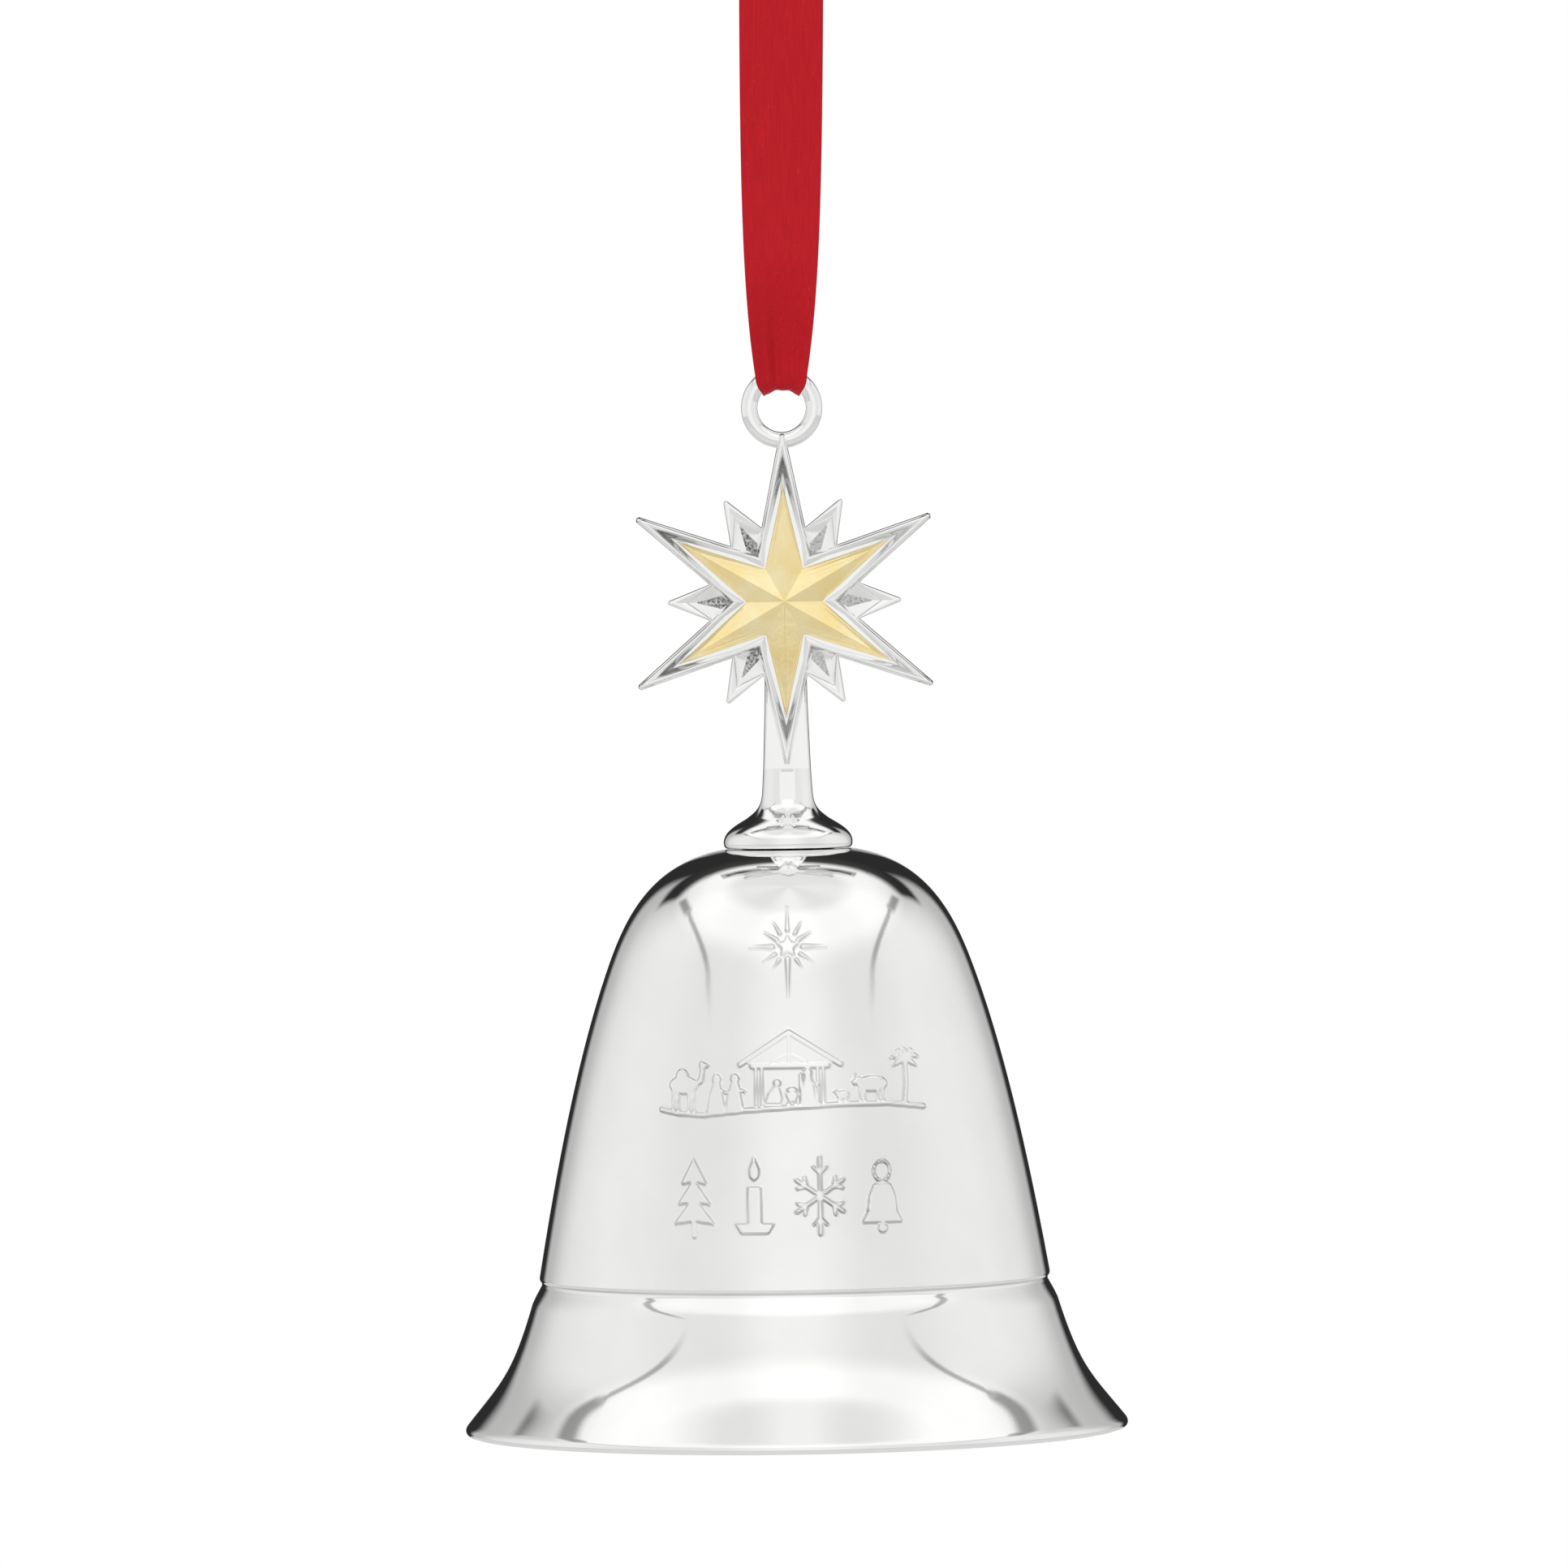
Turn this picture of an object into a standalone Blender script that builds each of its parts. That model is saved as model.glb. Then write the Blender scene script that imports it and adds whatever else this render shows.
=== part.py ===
"""A hanging bell ornament: a silver bell with a star handle, hung by a satin ribbon.

The ornament hangs at rest. The origin is the inside top of the ribbon loop, +Z is up
and the front of the star faces -Y. Lengths below are millimetres unless named _M.
"""

import math

import bmesh
import bpy
from mathutils import Vector

MM = 0.001

# Heights are counted up from the widest line of the rim.
RIBBON_DROP = 64.0  # from the inside top of the loop to the hanging wire's centre
RING_CENTRE_H = 113.5
RING_R = 3.61
RING_WIRE_R = 0.91
HANG_H = RING_CENTRE_H + RING_R
RIM_Z = -(HANG_H + RIBBON_DROP)

# Bell shell: three curves down the outside, each a start, two handles and an end.
CROWN_H = 64.35
CROWN_CURVE = ((7.0, 64.35), (16.1, 63.0), (18.85, 55.65), (20.8, 50.0))
BODY_CURVE = ((20.8, 50.0), (24.25, 40.0), (26.75, 27.0), (28.45, 17.0))
FLARE_CURVE = ((29.3, 14.0), (31.75, 5.95), (32.95, 5.25), (36.75, 0.5))
GROOVE_DEPTH = 0.25
WALL = 1.2
LIP_R = 36.95
LIP_FACE_H = -0.55
LIP_FACE_OUT = 36.45
CROWN_HOLE_R = 1.6
BELL_STEPS = 60

# Handle stem and its foot, (radius, height) from the foot up.
FOOT_R = 7.19
FOOT_H = 64.42
NECK_JOINT_H = 73.3
STEM_PANEL_Y = 2.5
NECK_FLAT_Y = 1.15
NECK_TOP_H = 84.5

# Star head. Each station is (distance from the centre, height off the mid-plane),
# for a long point, the corner beside it and a short point.
STAR_H = 91.9
LONG_R = 18.9
LONG_R_UPRIGHT = 17.9
CORNER_TURN = 16.5
STAR_STATIONS = (
    ((1.0, 1.3), (8.6, 0.7), (13.0, 0.6)),
    ((0.985, 1.55), (8.45, 1.0), (12.45, 1.0)),
    ((0.98, 1.6), (8.3, 1.0), (11.4, 0.65)),
    ((0.975, 1.7), (8.2, 1.1), (6.8, 0.65)),
    ((0.94, 2.3), (7.85, 2.3), (5.7, 2.3)),
    ((0.74, 1.5), (6.15, 1.5), (4.45, 1.5)),
)
SEAT_Y = 1.2
BACK_PEAK_Y = 3.2
GOLD_LONG_R = 13.7
GOLD_LONG_R_UPRIGHT = 13.0
GOLD_CORNER_R = 4.25
GOLD_BACK_Y = 1.3
GOLD_EDGE_Y = 1.75
GOLD_PEAK_Y = 3.6

# Fittings inside the crown and the clapper.
BOLT_SHANK_R = 1.45
BOLT_TOP_H = 71.0
BOLT_EYE_H = 56.9
BOLT_EYE_R = 2.2
BOLT_WIRE_R = 0.65
WASHER_R = 3.5
WASHER_THICK = 0.5
NUT_FLATS = 5.5
NUT_THICK = 2.4
LINK_R = 2.3
LINK_WIRE_R = 0.55
CLAPPER_EYE_R = 2.2
CLAPPER_WIRE_R = 0.6
EYE_GAP = 0.08
ROD_R = 0.9
BALL_R = 5.5
BALL_H = 9.0

# Satin ribbon, 3/8 in wide.
RIBBON_WIDTH = 9.45
GATHERED_WIDTH = 5.8
GATHER_REACH = 11.8
RIBBON_THICK = 0.3
LOOP_HALF_GAP = 3.9
LEAN = 0.0152
KNOT_H = 3.95


def z_of(height):
    """Height above the rim, in mm, as a Z in mm."""
    return RIM_Z + height


def clear_scene():
    for thing in list(bpy.data.objects):
        bpy.data.objects.remove(thing, do_unlink=True)


def material(name, color, metallic, roughness):
    made = bpy.data.materials.new(name)
    made.use_nodes = True
    shader = made.node_tree.nodes["Principled BSDF"]
    shader.inputs["Base Color"].default_value = (*color, 1.0)
    shader.inputs["Metallic"].default_value = metallic
    shader.inputs["Roughness"].default_value = roughness
    made.diffuse_color = (*color, 1.0)
    return made


def mesh_object(name, points, faces, look=None, origin=(0.0, 0.0, 0.0), smooth=True):
    """One object from points in mm, with its origin where asked and faces turned out."""
    shape = bmesh.new()
    start = Vector(origin)
    corners = [shape.verts.new((Vector(p) - start) * MM) for p in points]
    for face in faces:
        shape.faces.new([corners[i] for i in face])
    bmesh.ops.recalc_face_normals(shape, faces=shape.faces)
    for face in shape.faces:
        face.smooth = smooth
    data = bpy.data.meshes.new(name)
    shape.to_mesh(data)
    shape.free()
    made = bpy.data.objects.new(name, data)
    made.location = start * MM
    bpy.context.collection.objects.link(made)
    if look:
        data.materials.append(look)
    return made


def bezier(curve, count):
    """Points along one curve of a start, two handles and an end."""
    a, b, c, d = (Vector(p) for p in curve)
    found = []
    for i in range(count + 1):
        t = i / count
        s = 1 - t
        found.append(a * s**3 + b * 3 * s * s * t + c * 3 * s * t * t + d * t**3)
    return found


def arc(centre, radius, start, end, count):
    """Points (r, h) round an arc, angles in degrees from +r towards +h."""
    found = []
    for i in range(count + 1):
        turn = math.radians(start + (end - start) * i / count)
        found.append(Vector((centre[0] + radius * math.cos(turn), centre[1] + radius * math.sin(turn))))
    return found


def lathe(profile, steps, closed):
    """Points and faces of a profile turned about Z. A profile end at r = 0 is a pole."""
    points = []
    rows = []
    for r, h in profile:
        if r < 1e-6:
            rows.append([len(points)] * steps)
            points.append((0.0, 0.0, z_of(h)))
            continue
        rows.append(list(range(len(points), len(points) + steps)))
        for k in range(steps):
            turn = 2 * math.pi * k / steps
            points.append((r * math.sin(turn), -r * math.cos(turn), z_of(h)))
    faces = []
    pairs = list(zip(rows, rows[1:]))
    if closed:
        pairs.append((rows[-1], rows[0]))
    for upper, lower in pairs:
        for k in range(steps):
            n = (k + 1) % steps
            corners = [upper[k], upper[n], lower[n], lower[k]]
            faces.append(list(dict.fromkeys(corners)))
    return points, [f for f in faces if len(f) > 2]


def torus_mesh(centre, big, small, steps, sides, plane):
    """A wire ring. Plane XZ or YZ is the plane that its centreline lies in."""
    points = []
    for k in range(steps):
        turn = 2 * math.pi * k / steps
        for j in range(sides):
            roll = 2 * math.pi * (j + 0.5) / sides
            out = big + small * math.cos(roll)
            along, up, off = out * math.sin(turn), out * math.cos(turn), small * math.sin(roll)
            if plane == "XZ":
                points.append((centre[0] + along, centre[1] + off, centre[2] + up))
            else:
                points.append((centre[0] + off, centre[1] + along, centre[2] + up))
    faces = []
    for k in range(steps):
        for j in range(sides):
            a, b = k * sides + j, k * sides + (j + 1) % sides
            c = ((k + 1) % steps) * sides + (j + 1) % sides
            d = ((k + 1) % steps) * sides + j
            faces.append((a, b, c, d))
    return points, faces


def helper(name, points, faces, origin=(0.0, 0.0, 0.0)):
    """A hidden shape that a Boolean uses."""
    made = mesh_object(name, points, faces, origin=origin)
    made.hide_render = True
    made.display_type = "WIRE"
    return made


def boolean(target, other, operation):
    change = target.modifiers.new(f"{operation.lower()}_{other.name}", "BOOLEAN")
    change.object = other
    change.operation = operation
    change.solver = "EXACT"


def outer_profile():
    """The outside of the bell from the crown down to the widest line."""
    found = bezier(CROWN_CURVE, 10)
    found += bezier(BODY_CURVE, 5)[1:]
    found += [Vector((28.45 - GROOVE_DEPTH, 16.2)), Vector((28.75, 15.3))]
    found += bezier(FLARE_CURVE, 7)
    return found


def inner_profile():
    """The inside: the smooth outer curves set in by the wall thickness."""
    smooth = bezier(CROWN_CURVE, 8) + bezier(BODY_CURVE, 4)[1:] + bezier(FLARE_CURVE, 5)[1:]
    found = []
    for i, here in enumerate(smooth):
        before = smooth[max(i - 1, 0)]
        after = smooth[min(i + 1, len(smooth) - 1)]
        along = (after - before).normalized()
        found.append(here + Vector((along.y, -along.x)) * WALL)
    return found


def bell_shell():
    profile = [Vector((CROWN_HOLE_R, CROWN_H))] + outer_profile()
    profile += [Vector((LIP_R, 0.0)), Vector((36.8, -0.35)), Vector((LIP_FACE_OUT, LIP_FACE_H))]
    inside = inner_profile()
    profile += [Vector((35.75, LIP_FACE_H))]
    profile += list(reversed(inside))
    profile += [Vector((CROWN_HOLE_R, CROWN_H - WALL))]
    points, faces = lathe([tuple(p) for p in profile], BELL_STEPS, True)
    look = material("polished_silver_bell", (0.86, 0.86, 0.85), 1.0, 0.1)
    return mesh_object("bell_shell", points, faces, look)


def stem_profile():
    """Foot and stem from the top down, then in to the tapped hole."""
    found = [Vector((2.66, NECK_JOINT_H)), Vector((2.73, 72.0)), Vector((2.82, 70.6))]
    found += bezier(((2.82, 70.6), (2.95, 68.9), (3.6, 68.5), (4.6, 67.75)), 4)[1:]
    found += bezier(((4.6, 67.75), (5.9, 67.0), (7.1, 66.3), (FOOT_R, 65.2)), 4)[1:]
    found += [Vector((FOOT_R, 64.75)), Vector((6.9, FOOT_H))]
    return found


def handle_stem():
    profile = stem_profile()
    hole = BOLT_SHANK_R + 0.06
    profile += [Vector((hole, FOOT_H)), Vector((hole, BOLT_TOP_H + 0.4)), Vector((0.0, BOLT_TOP_H + 0.9))]
    profile.insert(0, Vector((0.0, NECK_JOINT_H)))
    points, faces = lathe([tuple(p) for p in profile], 36, False)
    look = material("polished_silver_stem", (0.86, 0.86, 0.85), 1.0, 0.12)
    stem = mesh_object("handle_stem", points, faces, look)
    boolean(stem, box_helper("stem_panel_cutter", (-2.0, -4.0, 69.4), (2.0, -STEM_PANEL_Y, 80.0)), "DIFFERENCE")
    return stem


def box_helper(name, low, high):
    """A hidden box between two corners, heights counted from the rim."""
    points = [(x, y, z_of(h)) for x in (low[0], high[0]) for y in (low[1], high[1]) for h in (low[2], high[2])]
    faces = [(0, 1, 3, 2), (4, 6, 7, 5), (0, 4, 5, 1), (2, 3, 7, 6), (0, 2, 6, 4), (1, 5, 7, 3)]
    return helper(name, points, faces)


def star_spokes():
    """(kind, angle, stretch) of the 24 spokes, counterclockwise from the right."""
    found = []
    for k in range(6):
        found.append((2, 60.0 * k, 1.0))
        middle = 60.0 * k + 30.0
        reach = LONG_R_UPRIGHT if k in (1, 4) else LONG_R
        found.append((1, middle - CORNER_TURN, 1.0))
        found.append((0, middle, reach))
        found.append((1, middle + CORNER_TURN, 1.0))
    return found


def spoke_point(angle, radius, y):
    turn = math.radians(angle)
    return (radius * math.cos(turn), y, z_of(STAR_H) + radius * math.sin(turn))


def star_ring(station, side):
    """One closed line of 24 corners on the front (side -1) or the back (side 1)."""
    found = []
    for kind, angle, reach in star_spokes():
        radius, y = station[kind]
        found.append(spoke_point(angle, radius * reach if kind == 0 else radius, side * y))
    return found


def star_frame():
    rings = [star_ring(s, 1) for s in reversed(STAR_STATIONS)]
    rings += [star_ring(s, -1) for s in STAR_STATIONS]
    seat = tuple((r, SEAT_Y) for r, _ in STAR_STATIONS[-1])
    rings.append(star_ring(seat, -1))
    points = [p for ring in rings for p in ring]
    faces = []
    for i in range(len(rings) - 1):
        for k in range(24):
            n = (k + 1) % 24
            faces.append((24 * i + k, 24 * i + n, 24 * i + 24 + n, 24 * i + 24 + k))
    back, front = len(points), len(points) + 1
    points.append(spoke_point(0.0, 0.0, BACK_PEAK_Y))
    points.append(spoke_point(0.0, 0.0, -SEAT_Y))
    last = 24 * (len(rings) - 1)
    for k in range(24):
        n = (k + 1) % 24
        faces.append((n, k, back))
        faces.append((last + k, last + n, front))
    look = material("polished_silver_star", (0.84, 0.84, 0.83), 1.0, 0.14)
    frame = mesh_object("star_frame", points, faces, look, smooth=False)
    neck = [(0.0, NECK_TOP_H + 1.6), (1.4, NECK_TOP_H + 1.1), (2.25, NECK_TOP_H), (2.42, 80.0), (2.56, 76.0)]
    neck += [(2.65, NECK_JOINT_H + 0.06), (0.0, NECK_JOINT_H + 0.06)]
    points, faces = lathe(neck, 28, False)
    neck_body = helper("neck_body", points, faces)
    boolean(neck_body, box_helper("neck_flat_cutter", (-4.0, -5.0, 60.0), (4.0, -NECK_FLAT_Y, 95.0)), "DIFFERENCE")
    boolean(frame, neck_body, "UNION")
    centre = (0.0, 0.0, z_of(RING_CENTRE_H))
    points, faces = torus_mesh(centre, RING_R, RING_WIRE_R + 0.06, 40, 12, "XZ")
    boolean(frame, helper("ring_saddle_cutter", points, faces), "DIFFERENCE")
    return frame


def gold_star():
    points = []
    for y in (GOLD_BACK_Y, GOLD_EDGE_Y):
        for k in range(12):
            reach = GOLD_LONG_R_UPRIGHT if k in (3, 9) else GOLD_LONG_R
            points.append(spoke_point(30.0 * k, reach if k % 2 else GOLD_CORNER_R, -y))
    points.append(spoke_point(0.0, 0.0, -GOLD_BACK_Y))
    points.append(spoke_point(0.0, 0.0, -GOLD_PEAK_Y))
    faces = []
    for k in range(12):
        n = (k + 1) % 12
        faces += [(k, n, 12 + n, 12 + k), (n, k, 24), (12 + k, 12 + n, 25)]
    look = material("gold_plated_star", (0.9, 0.72, 0.36), 1.0, 0.12)
    return mesh_object("gold_star", points, faces, look, smooth=False)


def hanging_ring():
    centre = (0.0, 0.0, z_of(RING_CENTRE_H))
    points, faces = torus_mesh(centre, RING_R, RING_WIRE_R, 40, 12, "XZ")
    look = material("polished_silver_ring", (0.86, 0.86, 0.85), 1.0, 0.1)
    return mesh_object("hanging_ring", points, faces, look)


def crown_washer():
    top = CROWN_H - WALL - 0.08
    profile = [(CROWN_HOLE_R, top), (WASHER_R, top), (WASHER_R, top - WASHER_THICK), (CROWN_HOLE_R, top - WASHER_THICK)]
    points, faces = lathe(profile, 36, True)
    look = material("zinc_plated_washer", (0.7, 0.7, 0.68), 1.0, 0.3)
    return mesh_object("crown_washer", points, faces, look, smooth=False)


def nut_top():
    return CROWN_H - WALL - 0.08 - WASHER_THICK - 0.06


def hex_nut():
    """A six-sided nut with a round bore."""
    top, low = nut_top(), nut_top() - NUT_THICK
    corner = NUT_FLATS / math.sqrt(3.0)
    bore = BOLT_SHANK_R + 0.06
    points = []
    for h in (top, low):
        for r, steps in ((corner, 6), (bore, 36)):
            for k in range(steps):
                turn = 2 * math.pi * k / steps
                points.append((r * math.sin(turn), -r * math.cos(turn), z_of(h)))
    faces = []
    for base in (0, 42):
        for side in range(6):
            rim = [base + 6 + (6 * side + j) % 36 for j in range(7)]
            faces.append([base + side] + rim[::-1])
            faces.append([base + side, base + 6 + (6 * side + 6) % 36, base + (side + 1) % 6])
    for side in range(6):
        n = (side + 1) % 6
        faces.append((side, n, 42 + n, 42 + side))
    for j in range(36):
        n = (j + 1) % 36
        faces.append((6 + j, 6 + n, 48 + n, 48 + j))
    look = material("zinc_plated_nut", (0.7, 0.7, 0.68), 1.0, 0.3)
    return mesh_object("hex_nut", points, faces, look, smooth=False)


def eye_bolt():
    """The screw that clamps handle and bell together, with the clapper's eye below."""
    low = BOLT_EYE_H + BOLT_EYE_R
    profile = [(0.0, BOLT_TOP_H), (BOLT_SHANK_R - 0.2, BOLT_TOP_H), (BOLT_SHANK_R, BOLT_TOP_H - 0.3)]
    profile += [(BOLT_SHANK_R, low + 0.35), (BOLT_SHANK_R - 0.4, low - 0.25), (0.0, low - 0.25)]
    points, faces = lathe(profile, 36, False)
    look = material("nickel_plated_bolt", (0.74, 0.73, 0.7), 1.0, 0.25)
    bolt = mesh_object("eye_bolt", points, faces, look)
    centre = (0.0, 0.0, z_of(BOLT_EYE_H))
    points, faces = torus_mesh(centre, BOLT_EYE_R, BOLT_WIRE_R, 32, 12, "XZ")
    boolean(bolt, helper("bolt_eye", points, faces), "UNION")
    return bolt


def link_pivot_h():
    """Height of the eye's lower wire, which the link swings round."""
    return BOLT_EYE_H - BOLT_EYE_R


def link_centre_h():
    return link_pivot_h() + BOLT_WIRE_R + LINK_WIRE_R + EYE_GAP - LINK_R


def clapper_pivot_h():
    """Height of the link's lower wire, which the clapper swings round."""
    return link_centre_h() - LINK_R


def clapper_eye_h():
    return clapper_pivot_h() + LINK_WIRE_R + CLAPPER_WIRE_R + EYE_GAP - CLAPPER_EYE_R


def clapper_link():
    pivot = (0.0, 0.0, z_of(link_pivot_h()))
    centre = (0.0, 0.0, z_of(link_centre_h()))
    points, faces = torus_mesh(centre, LINK_R, LINK_WIRE_R, 32, 12, "YZ")
    look = material("nickel_plated_link", (0.74, 0.73, 0.7), 1.0, 0.25)
    return mesh_object("clapper_link", points, faces, look, origin=pivot)


def clapper_rod():
    pivot = (0.0, 0.0, z_of(clapper_pivot_h()))
    eye_h = clapper_eye_h()
    top = eye_h - CLAPPER_EYE_R + 0.35
    end = BALL_H - 2.5
    profile = [(0.0, top), (ROD_R - 0.2, top), (ROD_R, top - 0.4), (ROD_R, end + 0.2), (ROD_R - 0.2, end), (0.0, end)]
    points, faces = lathe(profile, 24, False)
    look = material("nickel_plated_rod", (0.74, 0.73, 0.7), 1.0, 0.25)
    rod = mesh_object("clapper_rod", points, faces, look, origin=pivot)
    points, faces = torus_mesh((0.0, 0.0, z_of(eye_h)), CLAPPER_EYE_R, CLAPPER_WIRE_R, 32, 12, "XZ")
    boolean(rod, helper("rod_eye", points, faces, origin=pivot), "UNION")
    return rod


def clapper_ball():
    """A ball with a blind hole from the top for the rod."""
    pivot = (0.0, 0.0, z_of(clapper_pivot_h()))
    hole = ROD_R + 0.06
    start = math.degrees(math.acos(hole / BALL_R))
    profile = arc((0.0, BALL_H), BALL_R, start, -90.0, 14)
    profile[-1] = Vector((0.0, BALL_H - BALL_R))
    profile = [Vector((0.0, BALL_H - 2.7)), Vector((hole, BALL_H - 2.7))] + profile
    points, faces = lathe([tuple(p) for p in profile], 36, False)
    look = material("brass_clapper_ball", (0.78, 0.62, 0.36), 1.0, 0.25)
    return mesh_object("clapper_ball", points, faces, look, origin=pivot)


def blend(value):
    t = min(max(value, 0.0), 1.0)
    return t * t * (3 - 2 * t)


def lean_at(rise):
    """Sideways drift of the ribbon at a rise above the hanging wire."""
    return LEAN * rise * (1 - blend((rise - 42.0) / 20.0))


def width_at(rise):
    """The ribbon is full width above, and gathers more and more down to the ring."""
    if rise < 0:
        return GATHERED_WIDTH - 2.1 * blend(-rise / 1.5)
    return RIBBON_WIDTH - (RIBBON_WIDTH - GATHERED_WIDTH) * math.exp(-rise / GATHER_REACH)


def fold_radius(x):
    """Half the gap between the two strands where they pass the wire."""
    return RING_WIRE_R + 0.14 + 0.17 * x * x + RIBBON_THICK / 2


def wire_sag(x):
    """How far the ring's wire has dropped at x from its top."""
    return RING_R - math.sqrt(max(RING_R**2 - x * x, 0.0))


def loop_stations():
    """(kind, turn or rise, side) round the closed loop, from the fold's bottom."""
    found = [("fold", 90.0 - 15.0 * i, -1) for i in range(7)]
    rises = (0.8, 1.8, 3.0, 4.5, 6.5, 9.0, 12.0, 16.0, 22.0, 30.0, 40.0, 48.0, 54.0, 58.0)
    found += [("strand", rise, -1) for rise in rises]
    found += [("top", 15.0 * i, 0) for i in range(1, 12)]
    found += [("strand", rise, 1) for rise in reversed(rises)]
    found += [("fold", 15.0 * i, 1) for i in range(6)]
    return found


def loop_point(station, across, lift):
    """A point of the ribbon: across is -1 to 1 over the width, lift is out of the loop."""
    kind, value, side = station
    if kind == "fold":
        turn = math.radians(value)
        rise = -(RING_WIRE_R + 0.3) * math.sin(turn)
        x = across * width_at(rise) / 2
        reach = fold_radius(x) + lift
        return (x, side * reach * math.cos(turn), -0.75 * wire_sag(x) * math.sin(turn) - reach * math.sin(turn))
    if kind == "top":
        turn = math.radians(value)
        reach = LOOP_HALF_GAP + lift
        rise = RIBBON_DROP + RIBBON_THICK / 2 - LOOP_HALF_GAP + reach * math.sin(turn)
        return (across * RIBBON_WIDTH / 2, -reach * math.cos(turn), rise)
    x = across * width_at(value) / 2
    start = fold_radius(x)
    gap = start + (LOOP_HALF_GAP - start) * blend(value / 14.0) + lift
    return (x + lean_at(value), side * gap, value)


def ribbon_loop():
    """One closed band of ribbon: down the front, under the ring's wire and up the back."""
    count = 8
    stations = loop_stations()
    points = []
    for station in stations:
        for lift in (RIBBON_THICK / 2, -RIBBON_THICK / 2):
            steps = range(count + 1) if lift > 0 else range(count, -1, -1)
            for i in steps:
                x, y, rise = loop_point(station, 2 * i / count - 1, lift)
                points.append((x, y, rise - RIBBON_DROP))
    around = 2 * (count + 1)
    faces = []
    for s in range(len(stations)):
        n = (s + 1) % len(stations)
        for i in range(around):
            j = (i + 1) % around
            faces.append((s * around + i, s * around + j, n * around + j, n * around + i))
    look = material("red_satin_ribbon", (0.52, 0.015, 0.02), 0.0, 0.4)
    return mesh_object("ribbon_loop", points, faces, look)


def tail_mesh(side):
    """A flat tail of ribbon that leaves the knot upwards and falls outwards."""
    centres = []
    for i in range(9):
        t = i / 8
        centres.append(Vector((side * (0.6 + 15.0 * t), 0.0, KNOT_H + 1.5 + 11.0 * t - 9.5 * t * t)))
    points = []
    for i, here in enumerate(centres):
        along = centres[min(i + 1, 8)] - centres[max(i - 1, 0)]
        out = Vector((-along.z, 0.0, along.x)).normalized() * RIBBON_THICK / 2
        half = 2.0 + 2.7 * blend(i / 4.0)
        for y, sign in ((-half, 1), (half, 1), (half, -1), (-half, -1)):
            spot = here + out * sign
            points.append((spot.x, y, spot.z))
    faces = [(0, 1, 2, 3), (35, 34, 33, 32)]
    for i in range(8):
        for j in range(4):
            n = (j + 1) % 4
            faces.append((4 * i + j, 4 * i + n, 4 * i + 4 + n, 4 * i + 4 + j))
    return points, faces


def ribbon_knot():
    """The knot that closes the loop, with its two short tails."""
    points = [(0.0, 0.0, KNOT_H - 3.4)]
    rows, steps = 10, 24
    for i in range(1, rows):
        turn = math.pi * i / rows
        for k in range(steps):
            round_turn = 2 * math.pi * k / steps
            reach = math.sin(turn)
            x = 4.6 * reach * math.cos(round_turn)
            y = 3.3 * reach * math.sin(round_turn)
            points.append((x, y, KNOT_H - 3.4 * math.cos(turn)))
    points.append((0.0, 0.0, KNOT_H + 3.4))
    faces = []
    for k in range(steps):
        n = (k + 1) % steps
        faces.append((0, 1 + n, 1 + k))
        faces.append((len(points) - 1, 1 + (rows - 2) * steps + k, 1 + (rows - 2) * steps + n))
        for i in range(rows - 2):
            a = 1 + i * steps
            faces.append((a + k, a + n, a + steps + n, a + steps + k))
    look = material("red_satin_knot", (0.52, 0.015, 0.02), 0.0, 0.4)
    knot = mesh_object("ribbon_knot", points, faces, look)
    for side, name in ((-1, "left"), (1, "right")):
        points, faces = tail_mesh(side)
        boolean(knot, helper(f"{name}_tail", points, faces), "UNION")
    return knot


clear_scene()
bell_shell()
handle_stem()
star_frame()
gold_star()
hanging_ring()
crown_washer()
hex_nut()
eye_bolt()
clapper_link()
clapper_rod()
clapper_ball()
ribbon_loop()
ribbon_knot()
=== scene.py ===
"""Looks of the hanging bell ornament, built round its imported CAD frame.

Lengths in the builders below are millimetres and become metres in mesh_object.
Heights are counted up from the widest line of the rim, as in the CAD part.
"""

import math

import bpy
import numpy as np
from mathutils import Matrix, Vector

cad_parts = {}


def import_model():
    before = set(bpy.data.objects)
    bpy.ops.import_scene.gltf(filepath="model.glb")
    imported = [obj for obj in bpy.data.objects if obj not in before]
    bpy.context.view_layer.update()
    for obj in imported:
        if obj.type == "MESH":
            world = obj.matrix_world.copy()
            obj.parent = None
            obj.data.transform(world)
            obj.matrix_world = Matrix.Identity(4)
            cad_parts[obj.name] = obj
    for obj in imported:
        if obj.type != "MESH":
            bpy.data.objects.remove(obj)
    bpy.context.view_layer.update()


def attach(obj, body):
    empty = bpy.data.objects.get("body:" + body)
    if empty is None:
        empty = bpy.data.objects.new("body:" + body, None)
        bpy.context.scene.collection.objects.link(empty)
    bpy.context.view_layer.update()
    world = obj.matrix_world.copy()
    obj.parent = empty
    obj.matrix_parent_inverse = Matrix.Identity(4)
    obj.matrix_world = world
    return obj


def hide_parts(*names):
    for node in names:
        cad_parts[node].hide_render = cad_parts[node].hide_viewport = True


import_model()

MM = 0.001
NEAR_ZERO = 0.0001
RIBBON_DROP = 64.0
RING_CENTRE_H = 113.5
RING_R = 3.61
RING_WIRE_R = 0.91
RIM_Z = -(RING_CENTRE_H + RING_R + RIBBON_DROP)
STAR_H = 91.9
CROWN_H = 64.35
WALL = 1.2

# The camera, in metres: its distance, how wide it sees there, and how far its aim is from the ring.
VIEW_DISTANCE = 1.25
VIEW_WIDTH = 0.17484163
VIEW_ROLL = math.radians(0.87)
VIEW_ASIDE = 0.00027
VIEW_DROP = 0.04195
VIEW_RISE = 0.0214
SENSOR_WIDTH = 36.0

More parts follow.
